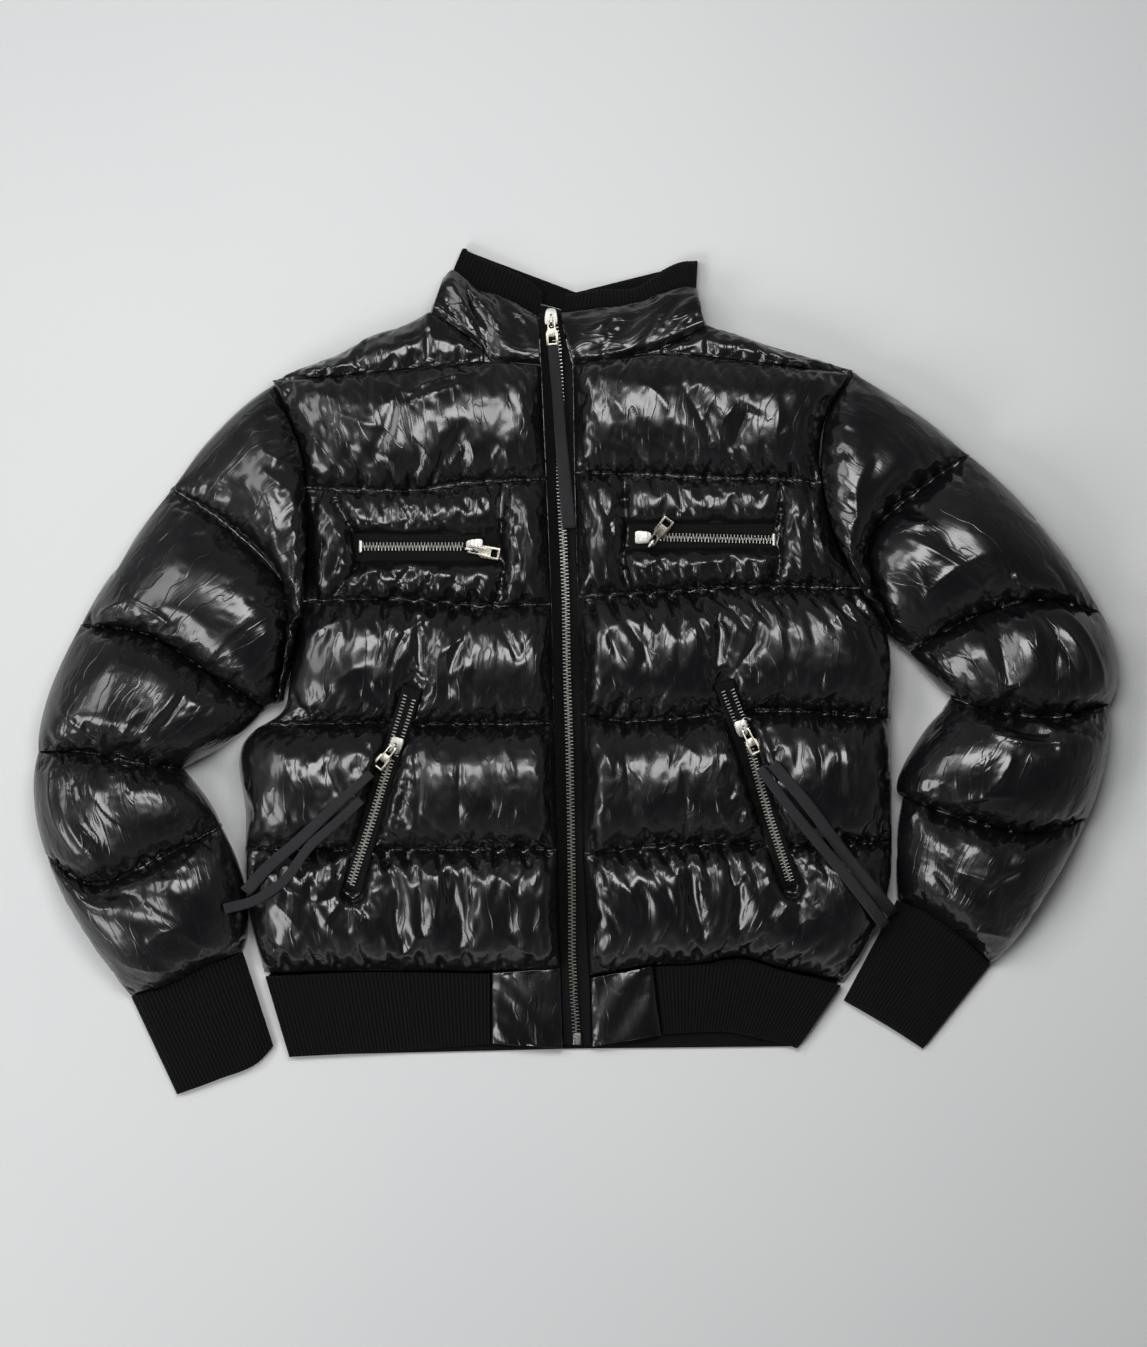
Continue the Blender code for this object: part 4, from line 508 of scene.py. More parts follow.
def creases(plan):
    """How far the main creases press the cloth down: each a straight trough, full in its middle, none at its
    ends and bell-shaped across."""
    drop = np.zeros(plan.shape[:-1])
    for start, end, half_width, depth in FOLDS:
        start, end = np.array(start, float), np.array(end, float)
        line = end - start
        share = np.clip(((plan - start) @ line) / (line @ line), 0, 1)
        across = np.linalg.norm(plan - (start + share[..., None] * line), axis=-1)
        drop += depth * np.sin(np.pi * np.clip(share, 0.04, 0.96)) * np.exp(-((across / half_width) ** 2))
    return drop


def refine(grid, wrap=False):
    """The grid with a new row and column between each two, by the four-point rule: nine sixteenths of each
    neighbour less one sixteenth of the next ones out."""
    for axis in (0, 1):
        grid = np.moveaxis(grid, axis, 0)
        if wrap and axis == 1:
            ext = np.concatenate([grid[-1:], grid, grid[:2]])
        else:
            ext = np.concatenate([2 * grid[:1] - grid[1:2], grid, 2 * grid[-1:] - grid[-2:-1]])
        middle = (9 * (ext[1:-2] + ext[2:-1]) - ext[:-3] - ext[3:]) / 16
        count = len(grid) + len(middle)
        out = np.empty((count, *grid.shape[1:]))
        out[0::2], out[1::2] = grid, middle
        grid = np.moveaxis(out, 0, axis)
    return grid


def cells(rows, columns, wrap=False, start=0):
    """Quads of a grid of points whose numbers begin at start."""
    across = columns if wrap else columns - 1
    i, j = np.meshgrid(np.arange(rows - 1), np.arange(across), indexing="ij")
    a = start + i * columns + j
    b = start + i * columns + (j + 1) % columns
    return np.stack([a, b, b + columns, a + columns], -1).reshape(-1, 4)


def mesh_object(name, points, faces, smooth_to=None):
    """A mesh object at the origin from points in mm; its faces are shaded smooth, up to an angle if given."""
    mesh = bpy.data.meshes.new(name)
    mesh.from_pydata((np.asarray(points) * MM).tolist(), [], [list(map(int, f)) for f in faces])
    mesh.validate()
    mesh.shade_smooth()
    if smooth_to:
        mesh.set_sharp_from_angle(angle=math.radians(smooth_to))
    made = bpy.data.objects.new(name, mesh)
    bpy.context.scene.collection.objects.link(made)
    return made


def outward(points, faces, below=0.0):
    """The faces turned so that they point away from the middle, or from as far below it as given, told by
    the sign of the volume that they span with it."""
    first = np.array([f[:3] for f in faces])
    middle = points.mean(0) - (0, 0, below)
    return faces if np.linalg.det(points[first] - middle).sum() > 0 else [f[::-1] for f in faces]


def panel_solid(name, top):
    """A closed panel: the top grid, a rim down to the back and an underside of long strips over it."""
    rows, columns = top.shape[:2]
    count = rows * columns
    number = np.arange(count).reshape(rows, columns)
    rim = np.concatenate([number[0], number[1:, -1], number[-1, -2::-1], number[-2:0:-1, 0]])
    low = top.reshape(-1, 3)[rim].copy()
    low[:, 2] = np.minimum(layer_z(low[:, 1]) + SEAM_GAP, low[:, 2] - 0.3)
    points = np.concatenate([top.reshape(-1, 3), low])
    under = {int(n): count + i for i, n in enumerate(rim)}
    faces = [list(f) for f in cells(rows, columns)]
    ring = list(rim) + [rim[0]]
    faces += [[a, under[int(a)], under[int(b)], b] for a, b in zip(ring[:-1], ring[1:])]
    ends = [(under[int(number[r, 0])], under[int(number[r, -1])]) for r in range(rows)]
    first = [under[int(n)] for n in number[0]] + [ends[1][1], ends[1][0]]
    last = [under[int(n)] for n in number[-1][::-1]] + [ends[-2][0], ends[-2][1]]
    faces += [first, last]
    faces += [[a[0], a[1], b[1], b[0]] for a, b in zip(ends[1:-2], ends[2:-1])]
    return mesh_object(name, points, outward(points, faces))


def tube_solid(name, rings):
    """A closed tube: rings of points that wrap round, with a flat cap at each end."""
    rows, columns = rings.shape[:2]
    points = rings.reshape(-1, 3)
    faces = [list(f) for f in cells(rows, columns, wrap=True)]
    faces += [list(range(columns))[::-1], list(range((rows - 1) * columns, rows * columns))]
    return mesh_object(name, points, outward(points, faces))


def uv_map(made, name, place):
    """A UV map that gives each point its place."""
    corners = np.empty(len(made.data.loops), int)
    made.data.loops.foreach_get("vertex_index", corners)
    made.data.uv_layers.new(name=name).data.foreach_set("uv", place[corners].ravel())


def chart(made, grid, rows=None, fade=SEAM_FADE, along_band=False):
    """Marks the cloth for its finish: a UV map in metres, across the grid's columns and down its rows, or the
    other way on a band, and how gathered each point is. That is 1 on a seam row and dies away in a few cm;
    without seam rows it is 1 all over a band and 0.5 elsewhere."""
    across = np.linalg.norm(np.diff(grid, axis=1, prepend=grid[:, :1]), axis=-1).mean(0).cumsum()
    down = np.linalg.norm(np.diff(grid, axis=0, prepend=grid[:1]), axis=-1).cumsum(0)
    place = np.zeros((len(made.data.vertices), 2))
    place[: down.size] = np.stack([np.broadcast_to(across, down.shape), down], -1).reshape(-1, 2) * MM
    if along_band:
        place = place[:, ::-1].copy()
    gathered = np.full(len(place), 1.0 if along_band else 0.5)
    if rows is not None:
        seams = down[[0, *rows, -1]]
        away = np.abs(down[None] - seams[:, None]).min(0)
        gathered[: down.size] = np.exp(-away / fade).ravel()
    uv_map(made, "cloth", place)
    made.data.attributes.new("gathered", "FLOAT", "POINT").data.foreach_set("value", gathered)
    return made


# ---------------------------------------------------------------- filling the cloth
PATHS = {}  # each finished panel's grid, for what is sewn on it
CLOTHS = []  # each panel being filled: its object, its grid, how far it may move and what finishes it


def lay(name, grid, held, finish, wrap=False, cap=9.0):
    """Adds an open grid of cloth that is held where the weights in held are 1, for the filling to come."""
    rows, columns = grid.shape[:2]
    points = grid.reshape(-1, 3)
    faces = outward(points, cells(rows, columns, wrap), 0 if wrap else 1000)
    cloth = mesh_object(name + "_cloth", points, faces)
    group = cloth.vertex_groups.new(name="held")
    weights = held.reshape(-1)
    for weight in np.unique(weights):
        if weight > 0:
            group.add(np.flatnonzero(weights == weight).tolist(), float(weight), "REPLACE")
    CLOTHS.append({"cloth": cloth, "grid": grid, "cap": cap, "finish": finish})


def fill_cloths(settings, frames=20):
    """Blows up every panel at once with Blender's cloth, which is cut larger than it lies, gravity off."""
    scene = bpy.context.scene
    scene.frame_start, scene.frame_end = 1, frames
    for item in CLOTHS:
        cloth = item["cloth"].modifiers.new("Cloth", "CLOTH")
        fabric = cloth.settings
        fabric.quality = 6
        fabric.mass = 0.02
        fabric.tension_stiffness = fabric.compression_stiffness = 12
        fabric.shear_stiffness = 6
        fabric.bending_stiffness = settings.stiffness
        fabric.tension_damping = fabric.compression_damping = 2
        fabric.use_pressure = True
        fabric.uniform_pressure_force = settings.pressure
        fabric.vertex_group_mass = "held"
        fabric.pin_stiffness = 5
        fabric.shrink_min = -settings.spare
        fabric.effector_weights.gravity = 0
        cloth.collision_settings.use_collision = False
        cloth.point_cache.frame_start, cloth.point_cache.frame_end = 1, frames
    for number in range(1, frames + 1):
        scene.frame_set(number)
    graph = bpy.context.evaluated_depsgraph_get()
    for item in CLOTHS:
        filled = item["cloth"].evaluated_get(graph).to_mesh()
        points = np.empty(len(filled.vertices) * 3)
        filled.vertices.foreach_get("co", points)
        moved = points.reshape(item["grid"].shape) / MM - item["grid"]
        reach = np.linalg.norm(moved, axis=-1, keepdims=True)
        moved *= item["cap"] * np.tanh(reach / item["cap"]) / np.maximum(reach, 1e-9)
        item["grid"] = item["grid"] + moved
        item["cloth"].evaluated_get(graph).to_mesh_clear()
    scene.frame_set(1)


# ---------------------------------------------------------------- creases and finishing of a filled grid
def push(grid, amount, wrap=False):
    """The grid moved along its own normals, which are the cross product of its two directions."""
    down = np.gradient(grid, axis=0)
    if wrap:
        over = (np.roll(grid, -1, 1) - np.roll(grid, 1, 1)) / 2
    else:
        over = np.gradient(grid, axis=1)
    normal = np.cross(over, down)
    normal /= np.maximum(np.linalg.norm(normal, axis=-1, keepdims=True), 1e-9)
    if np.median(normal[..., 2]) < 0:
        normal = -normal
    return grid + normal * amount[..., None]


def pucker_depth():
    """The depth of the gathers in mm."""
    return bpy.context.scene.jacket_cloth.pucker / MM


def crumple(plan, seed, count, lean=0.5, box=None):
    """Fine creases: many short lines over a box, or over all the cloth, raised or sunk, sharp along their
    middle and fading over a few mm."""
    draw = np.random.default_rng(seed)
    depth = bpy.context.scene.jacket_cloth.crush / MM
    total = np.zeros(plan.shape[:-1])
    flat = plan.reshape(-1, 2)
    low, high = np.array(box or (flat.min(0), flat.max(0)), float)
    for _ in range(count):
        middle = low + (high - low) * draw.random(2)
        turn = np.pi / 2 + draw.normal(0, lean)
        half = draw.uniform(6, 26) * np.array([np.cos(turn), np.sin(turn)])
        width, rise = draw.uniform(1.6, 4.0), depth * draw.normal(0, 1)
        bend = draw.normal(0, 0.012)
        offset = plan - middle
        length = np.linalg.norm(half)
        run = offset @ half / length
        side = offset @ np.array([-half[1], half[0]]) / length + bend * run**2
        fade = np.clip(1 - (run / length) ** 2, 0, None)
        total += rise * fade * np.exp(-np.sqrt(side**2 + 0.3) / (width * (0.5 + 0.5 * fade)))
    return total


def hand_creases(plan):
    """Listed creases, each a bent line with its own half width and height: positive for a ridge."""
    total = np.zeros(plan.shape[:-1])
    for x0, y0, x1, y1, width, rise, bend in HAND_CREASES:
        start, end = np.array((x0, y0), float), np.array((x1, y1), float)
        length = np.linalg.norm(end - start)
        way = (end - start) / length
        offset = plan - (start + end) / 2
        run = offset @ way
        share = run / (length / 2)
        side = offset @ np.array([-way[1], way[0]]) - bend * (1 - share**2)
        fade = np.clip(1 - share**2, 0, None) ** 0.7
        total += CREASE_GAIN * rise * fade * np.exp(-np.sqrt(side**2 + 0.15) / width)
    return total


def puckered(grid, rows, seed, reach, depths=None, waves=10, least=5):
    """How far the cloth rises by its gathers at each seam row, on the side before it and the side after."""
    plan = grid[..., :2]
    total = np.zeros(plan.shape[:-1])
    edges = [0, *rows, len(plan) - 1]
    for number, (above, below) in enumerate(zip(edges[:-1], edges[1:])):
        part = slice(above, below + 1)
        for end, row in enumerate((above, below)):
            step = np.linalg.norm(np.diff(plan[row], axis=0, prepend=plan[row, :1]), axis=-1)
            distance = np.linalg.norm(plan[part] - plan[row], axis=-1)
            depth = depths[number][end] if depths else 1.0
            own = seed + 10 * number + end
            total[part] += depth * gathers(step.cumsum()[None], distance, own, reach, waves, least)
    return total


def closed(name, solid, grid, rise, rows, fade=SEAM_FADE, wrap=False):
    """The finished piece: its grid creased by the given rise, kept for what is sewn on it, and made solid."""
    grid = push(grid, rise, wrap)
    if wrap:
        grid[..., 2] = np.maximum(grid[..., 2], 0)
    PATHS[name] = grid
    return dress(chart(solid(f"{name}_shell", grid), grid, rows, fade), "coated_nylon", name)


# ---------------------------------------------------------------- fronts
def front_plan(side, spacing):
    """Rows of places in plan from the yoke seam down. Each baffle is ruled between its two quilt lines, and
    each row is stretched to the armhole or the side seam. Gives too each row's baffle and its share of it."""
    shares = np.linspace(0, 1, int(length_of(FRONT_LINES["waist line"][side]) / spacing))
    armhole = along(ARMHOLES[side], np.linspace(0, 1, 60))
    edge = np.concatenate([armhole, along(SIDES[side], np.linspace(0.01, 1, 60))])
    blocks, baffle, part = [], [], []
    for k, (above, below, _, _) in enumerate(BAFFLES):
        upper, lower = (along(FRONT_LINES[line][side], shares) for line in (above, below))
        count = int(np.abs(upper - lower)[:, 1].mean() / spacing) + 1
        t = eased(count)[: count - (k < len(BAFFLES) - 1)]
        blocks.append(upper * (1 - t)[:, None, None] + lower * t[:, None, None])
        baffle.append(np.full(len(t), k))
        part.append(t)
    plan, out = np.concatenate(blocks), 1 if side else -1
    reach = np.interp(-plan[:, -1, 1], -edge[:, 1], edge[:, 0])[:, None] - out * SEAM_GAP
    first = plan[:, :1, 0]
    plan[..., 0] = first + (plan[..., 0] - first) * (reach - first) / (plan[:, -1:, 0] - first)
    return plan, np.concatenate(baffle)[:, None], np.concatenate(part)[:, None]


def chest_box(side, plan, k, z):
    """The heights with the chest pocket's panel in: a flat band for the zip, a pad over and under it that
    rises by the crown's rule, and a groove down each side. Gives too the distance to the nearest groove."""
    x, y = plan[..., 0], plan[..., 1]
    low, high = CHEST_TAPES[side][1]
    chest_y, pocket_y = (plan[np.flatnonzero(k[:, 0] == row)[0], :, 1] for row in (1, 2))
    over = np.clip((y - high) / (chest_y - high), 0, 1)
    under = np.clip((low - y) / (low - pocket_y), 0, 1)
    pad = CHEST_ZIP_Z + (STITCH_Z - CHEST_ZIP_Z) * np.maximum(over, under)
    pad = pad + (BAFFLES[1][3] - STITCH_Z) * (crown(over) + crown(under))
    sides = [np.array(path, float) for path in BOX_SIDES[side]]
    left, right = (np.interp(-y, -path[:, 1], path[:, 0]) for path in sides)
    z = np.where((x > left) & (x < right) & (k == 1), pad, z)
    groove = np.minimum(np.abs(x - left), np.abs(x - right)) + 99 * (k != 1)
    soft = np.where(z > BOX_SEAM_Z, roll(groove, BOX_ROUND), 1)
    return BOX_SEAM_Z + (z - BOX_SEAM_Z) * soft, groove


def front_grid(side, cloth):
    """The front's outer points and how firmly each is held. The height is the quilting's, less the chest
    box, the hand pocket's valley, the round edges, the shoulder's low corner and the creases, with the
    gathers at each line."""
    plan, k, t = front_plan(side, cloth.grid / MM)
    x, y = plan[..., 0], plan[..., 1]
    tops = np.array([row[2] for row in BAFFLES])[k]
    z = STITCH_Z + (NECK_Z - STITCH_Z) * np.clip(1 - 3 * t, 0, 1) * (k == 0) + (tops - STITCH_Z) * crown(t)
    z = z + np.zeros_like(x)
    z, groove = chest_box(side, plan, k, z)
    to_zip, share = near(plan, HAND_TAPES[side])
    valley = roll(np.clip(to_zip - HAND_TAPE_WIDTH / 2, 0, None), VALLEY_ROUND)
    valley = 1 - (1 - valley) * (0.3 + 0.7 * smooth(share, 0, 0.2))
    z = HAND_ZIP_Z + (z - HAND_ZIP_Z) * valley
    edge = SIDE_Z + (ARMHOLE_Z - SIDE_Z) * smooth(y, -40, 0)
    z = edge + (z - edge) * roll(np.abs(x - plan[:, -1:, 0]), SIDE_ROUND)
    z = ZIP_EDGE_Z + (z - ZIP_EDGE_Z) * roll(np.abs(x - plan[:, :1, 0]), ZIP_ROUND)
    z = z - (LAYER_Z - layer_z(y)) - 4.0 * smooth(t, 0.8, 1) * (k == len(BAFFLES) - 1)
    to_shoulder = (x - plan[0, -1, 0]) ** 2 + (y - plan[0, -1, 1]) ** 2
    z = z - SHOULDER_DROP * np.exp(-(to_shoulder / SHOULDER_REACH**2))
    spare = np.clip((z - layer_z(y) - HEM_PAD) / 20, 0, 1) * valley * roll(groove, BOX_ROUND)
    z = z - creases(plan) * spare
    tall = np.abs(np.gradient(plan[..., 1], axis=0)).sum(0) / len(BAFFLES)
    (x0, x1), (y0, y1) = CHEST_TAPES[side]
    in_band = (k == 1) & (y > y0) & (y < y1) & (x > x0 - 3) & (x < x1 + 3)
    for row in range(len(BAFFLES)):
        for end, seed in ((t, 11), (1 - t, 23)):
            wave = 0.5 * gathers(x, end * tall, 100 * side + 10 * row + seed)
            z += cloth.pucker / MM * wave * (k == row) * valley * ~in_band
    held = (t == 0) | (t == 1) | in_band | (to_zip < HAND_TAPE_WIDTH / 2) | (groove < 1.8)
    held[:, [0, -1]] = True
    rows = [int(row) * 2 for row in np.flatnonzero(t[:, 0] == 0)[1:]]
    return np.dstack([plan, z]), held.astype(float), rows


def finish_front(side, rows):
    """What closes the filled front: refined twice as fine, with creases and gathers that keep off the zips
    and the edges, a rim and a flat underside."""

    def close(grid):
        """Finishes the filled grid."""
        grid = refine(grid)
        plan, depth = grid[..., :2], pucker_depth()
        x, y = plan[..., 0], plan[..., 1]
        to_zip, share = near(plan, HAND_TAPES[side])
        (x0, x1), (y0, y1) = CHEST_TAPES[side]
        off_x = np.clip(np.maximum(x0 - x, x - x1), 0, None)
        off = np.hypot(off_x, np.clip(np.maximum(y0 - y, y - y1), 0, None))
        to_edges = [np.abs(x - plan[:, :1, 0]), np.abs(x - plan[:, -1:, 0])]
        room = smooth(to_zip, 8.5, 10.5) * smooth(off, 0, 8) * smooth(np.minimum(*to_edges), 0, 8)
        rise = hand_creases(plan) + waves_over(plan, 35 + side) + crumple(plan, 31 + side, 90)
        rise += depth * 1.3 * puckered(grid, rows, 500 + 100 * side, 24, PUCKERS, 9, 7)
        beside = (x > x0 - 4) & (x < x1 + 4)
        for past, seed in ((y - y1, 37), (y0 - y, 39)):
            rise += depth * gathers(x, np.clip(past, 0, None), seed + side, 9) * beside * (past > 0)
        along_zip = share * length_of(HAND_TAPES[side])
        rise += depth * gathers(along_zip, np.clip(to_zip - 8, 0, None), 41 + side, 8)
        for inward, seed in zip(to_edges, (43, 45)):
            rise += 0.7 * depth * gathers(y, inward, seed + side, 8)
        PATHS[f"front_{WORDS[side]}_rows"] = rows
        return closed(f"front_{WORDS[side]}", panel_solid, grid, rise * room, rows)

    return close


# ---------------------------------------------------------------- yokes
def yoke_grid(side, cloth):
    """The yoke's wing: ruled in plan from the yoke seam up to the neck and the shoulder's edge, and rounded
    down to that edge by half a crown."""
    spacing = cloth.grid / MM
    plan, _, _ = front_plan(side, spacing)
    seam = plan[0]
    out = 1 if side else -1
    neck = abs(COLLAR_BASES[side][3][0])
    x = out * np.linspace(neck + 7, abs(seam[-1, 0]) + 1.5, int((abs(seam[-1, 0]) - neck) / spacing))
    order = np.argsort(seam[:, 0])
    low_y = np.interp(x, seam[order, 0], seam[order, 1]) + SEAM_GAP
    edge = np.array(COLLAR_BASES[side][3::-1] + SHOULDERS[side][-2::-1], float)
    order = np.argsort(np.abs(edge[:, 0]))
    high_y = np.interp(np.abs(x), np.abs(edge[order, 0]), edge[order, 1]) - SEAM_GAP
    high_y = np.maximum(high_y, low_y + 1.0)
    low_z = ZIP_EDGE_Z + (NECK_Z - ZIP_EDGE_Z) * smooth(np.abs(x), neck - 20, neck + 30)
    low_z = ARMHOLE_Z + (low_z - ARMHOLE_Z) * smooth(np.abs(seam[-1, 0]) - np.abs(x), 0, 40)
    low_z -= SHOULDER_DROP * np.exp(-(((np.abs(x) - abs(seam[-1, 0])) / SHOULDER_REACH) ** 2))
    end_x = abs(SHOULDERS[side][-1][0])
    high_z = SIDE_Z + (30.0 - SIDE_Z) * smooth(-np.abs(x), -end_x - 12, -end_x)
    s = eased(15)[:, None]
    rise = crown(s * 0.5 + 0.5) + 0.30 * np.sin(np.pi * s)
    tall = high_y - low_y
    z = high_z + (low_z - high_z) * rise * np.clip(tall / 12, 0.6, 1)
    z += gathers(x, s * tall, 300 + side, 9) * smooth(tall, 4, 16)
    z += gathers(x, (1 - s) * tall, 310 + side, 6) * 0.6
    grid = np.dstack([x + 0 * s, low_y * (1 - s) + high_y * s, z])
    held = np.zeros(grid.shape[:2])
    held[[0, -1]] = 1
    held[:, [0, -1]] = 1
    return grid, held


def finish_yoke(side):
    """What closes the filled yoke: refined, creased and gathered, with a rim and a flat underside."""

    def close(grid):
        """Finishes the filled grid."""
        grid = refine(grid)
        plan = grid[..., :2]
        rise = crumple(plan, 51 + side, 30, 0.8) + hand_creases(plan)
        rise += 0.5 * pucker_depth() * puckered(grid, [], 700 + 100 * side, 8)
        return closed(f"yoke_{WORDS[side]}", panel_solid, grid, rise, [])

    return close


# ---------------------------------------------------------------- sleeves
def sleeve_grid(side, cloth):
    """The sleeve's rings. Along it each baffle is the parabola through a seam, a crown and a seam of the
    table; round it the top is a flattened crown over the edges' level and the underside lies on the floor."""
    spacing = cloth.grid / MM
    table = SLEEVES[side]
    upper = np.linspace(0, 1, int(190 / spacing))
    upper = upper - 0.35 * np.sin(2 * np.pi * upper) / (2 * np.pi)
    lower = np.array([0.985, 0.95, 0.85, 0.6, 0.4, 0.15, 0.05, 0.015])
    both = np.concatenate([upper, lower])
    rise, top_count = crown(upper, 2.6), len(upper)
    rings, held, seams = [], [], []
    for k in range(0, len(table) - 2, 2):
        a, b, c = (np.array(row[1:5], float) for row in table[k : k + 3])
        tops = [row[5] for row in table[k : k + 3]]
        last = k == len(table) - 3
        middle = np.linalg.norm((c - a).mean(0))
        count = int(middle / spacing) + 8
        steps = eased(count)[: count - (not last)]
        for t in steps:
            line = a * (1 - t) * (1 - 2 * t) + b * 4 * t * (1 - t) + c * t * (2 * t - 1)
            base = tops[0] * (1 - t) + tops[2] * t
            top = base + (tops[1] - (tops[0] + tops[2]) / 2) * crown(t)
            slit = SLEEVE_LAYER_Z + (CUFF_LAYER_Z - SLEEVE_LAYER_Z) * t * last
            edge = slit + 1.0
            floor = 3.0 * max(0, 1 - 12 * min(t, 1 - t)) * (not last or t < 0.5) * (k + t > 0)
            ring = np.empty((len(both), 3))
            ring[:, :2] = along(line, both)
            ring[:top_count, 2] = edge + (top - edge) * rise
            side_rise = 0.18 * (np.abs(lower - 0.5) > 0.44) + 0.37 * (np.abs(lower - 0.5) > 0.48)
            ring[top_count:, 2] = edge * side_rise + floor * (1 - side_rise)
            pressed = creases(ring[:top_count, :2]) * np.clip(2 * rise - 1, 0, 1)
            ring[:top_count, 2] -= pressed * smooth(top, 34, 50)
            rings.append(ring)
            flat = np.zeros(len(both))
            flat[top_count + 1 : -1] = 1
            if t in (0, 1):
                flat[:] = 1
            held.append(flat)
            seams.append(min(t, 1 - t) * middle)
    rings, held = np.array(rings), np.array(held)
    run = np.linalg.norm(np.diff(rings[..., :2], axis=1, append=rings[:, :1, :2]), axis=-1).cumsum(1)
    run[:, top_count:] = 0
    seams = np.flatnonzero(np.array(seams) == 0)
    fade = np.zeros(len(both))
    fade[:top_count] = np.clip(rise * 2, 0, 1)
    for number, start in enumerate(seams):
        distance = np.linalg.norm(rings[..., :2] - rings[start, :, :2], axis=-1)
        wave = gathers(run[start][None] + 0 * distance, distance, 400 + 20 * side + number)
        rings = push(rings, 0.3 * wave * fade * cloth.pucker / MM, wrap=True)
    return rings, held, top_count, [2 * int(row) for row in seams[1:-1]]


def finish_sleeve(side, top_count, rows):
    """What closes the filled sleeve: refined, creased and gathered over its top, and capped at both ends."""

    def close(grid):
        """Finishes the filled grid."""
        grid = refine(grid, wrap=True)
        plan = grid[..., :2]
        rise = hand_creases(plan) + waves_over(plan, 65 + side) + 0.5 * crumple(plan, 61 + side, 60, 1.0)
        rise += 0.8 * pucker_depth() * puckered(grid, rows, 800 + 100 * side, 13, waves=8, least=7)
        column = np.arange(grid.shape[1]) / 2
        rise = rise * smooth(column, 2, 7) * smooth(top_count - column, 2, 7)
        return closed(f"sleeve_{WORDS[side]}", tube_solid, grid, rise, rows, SLEEVE_FADE, wrap=True)

    return close


# ---------------------------------------------------------------- walls: bands, tabs, tapes
def wall_solid(name, outer, inner, wrap=False):
    """A closed wall between two grids of points; with wrap their columns close on themselves."""
    rows, columns = outer.shape[:2]
    count = rows * columns
    number = np.arange(count).reshape(rows, columns)
    faces = [cells(rows, columns, wrap), cells(rows, columns, wrap, count)[:, ::-1]]

    def join(first, second):
        """Quads between two rows of points."""
        if wrap:
            first, second = np.append(first, first[0]), np.append(second, second[0])
        faces.append(np.stack([first[:-1], first[1:], second[1:], second[:-1]], 1))

    join(number[0] + count, number[0])
    join(number[-1], number[-1] + count)
    if not wrap:
        join(number[:, 0], number[:, 0] + count)
        join(number[:, -1] + count, number[:, -1])
    points = np.concatenate([outer.reshape(-1, 3), inner.reshape(-1, 3)])
    return mesh_object(name, points, outward(points, np.concatenate(faces)))


def ribs(length, trim, per_rib=8):
    """Shares along a knitted band and how far each place stands out: a flattened cosine, one to a rib."""
    pitch = trim.rib_pitch / MM
    count = int(length / pitch) * per_rib + 1
    share = np.linspace(0, 1, count)
    wave = np.cos(2 * np.pi * np.arange(count) / per_rib)
    return share, trim.rib_depth / MM / 2 * np.sign(wave) * np.abs(wave) ** 0.6


def folded_band(name, fronts, levels, radius, trim=None, bumps=None, shelf=None, spacing=3.0, back_share=60):
    """A band from the zip round the left fold, along the back, round the right fold and to the zip again.
    Each row has its slit's level, its front's outer height and its back's outer height."""
    outer, inner = [], []
    for r, (slit, top, low) in enumerate(levels):
        ends = []
        for side in (0, 1):
            line = fronts[side][r]
            length = length_of(fronts[side][0])
            if trim:
                share, rise = ribs(length, trim)
            else:
                share = np.linspace(0, 1, int(length / spacing) | 1)
                rise = 0
            share[0] = radius / length * 0.5
            plan = along(line, share)
            away = 1 if side else -1
            height = top + rise + np.zeros(len(share))
            if bumps:
                height = height + bumps(side, share, r / (len(levels) - 1))
            under = np.full(len(share), slit + 0.4)
            if shelf:
                under = np.maximum(under, shelf(plan[:, 1]))
            height = np.maximum(height, under + 1)
            turn = np.radians(np.linspace(20, 160, 9))
            corner_x, corner_y = line[0]
            out_radius = np.where(turn < np.pi / 2, height[0] - slit, slit - low)
            x = corner_x - away * radius + away * radius * np.sin(turn)
            curl = np.column_stack([x, np.full(9, corner_y), slit + out_radius * np.cos(turn)])
            x_in = corner_x - away * radius + away * radius * 0.15 * np.sin(turn)
            curl_in = np.column_stack([x_in, np.full(9, corner_y), slit + 0.4 * np.cos(turn)])
            ends.append((np.column_stack([plan, height]), np.column_stack([plan, under]), curl, curl_in))
        back_x = ends[0][2][-1, 0] + 3, ends[1][2][-1, 0] - 3
        x = np.linspace(*back_x, back_share)
        lows, highs = np.array(BACK_YS[name])
        y = np.interp(x, (back_x[0], 0, back_x[1]), lows + (highs - lows) * r / (len(levels) - 1))
        back_rise = np.zeros(back_share)
        if trim:
            back_rise = 0.35 * (np.arange(back_share) % 2)
        for rings, face, level in ((outer, 0, low + back_rise), (inner, 1, slit - 0.4 - back_rise * 1.6)):
            back = np.column_stack([x, y, level + 0 * x])
            left, right = ((end[face], end[face + 2]) for end in ends)
            rings.append(np.concatenate([left[0][::-1], left[1], back, right[1][::-1], right[0]]))
    return np.array(outer), np.array(inner)


def between(levels, count):
    """A table's rows, evenly spaced, read at count places."""
    table = np.array(levels, float)
    at = np.linspace(0, len(table) - 1, count)
    return np.stack([np.interp(at, np.arange(len(table)), table[:, c]) for c in range(table.shape[1])], 1)


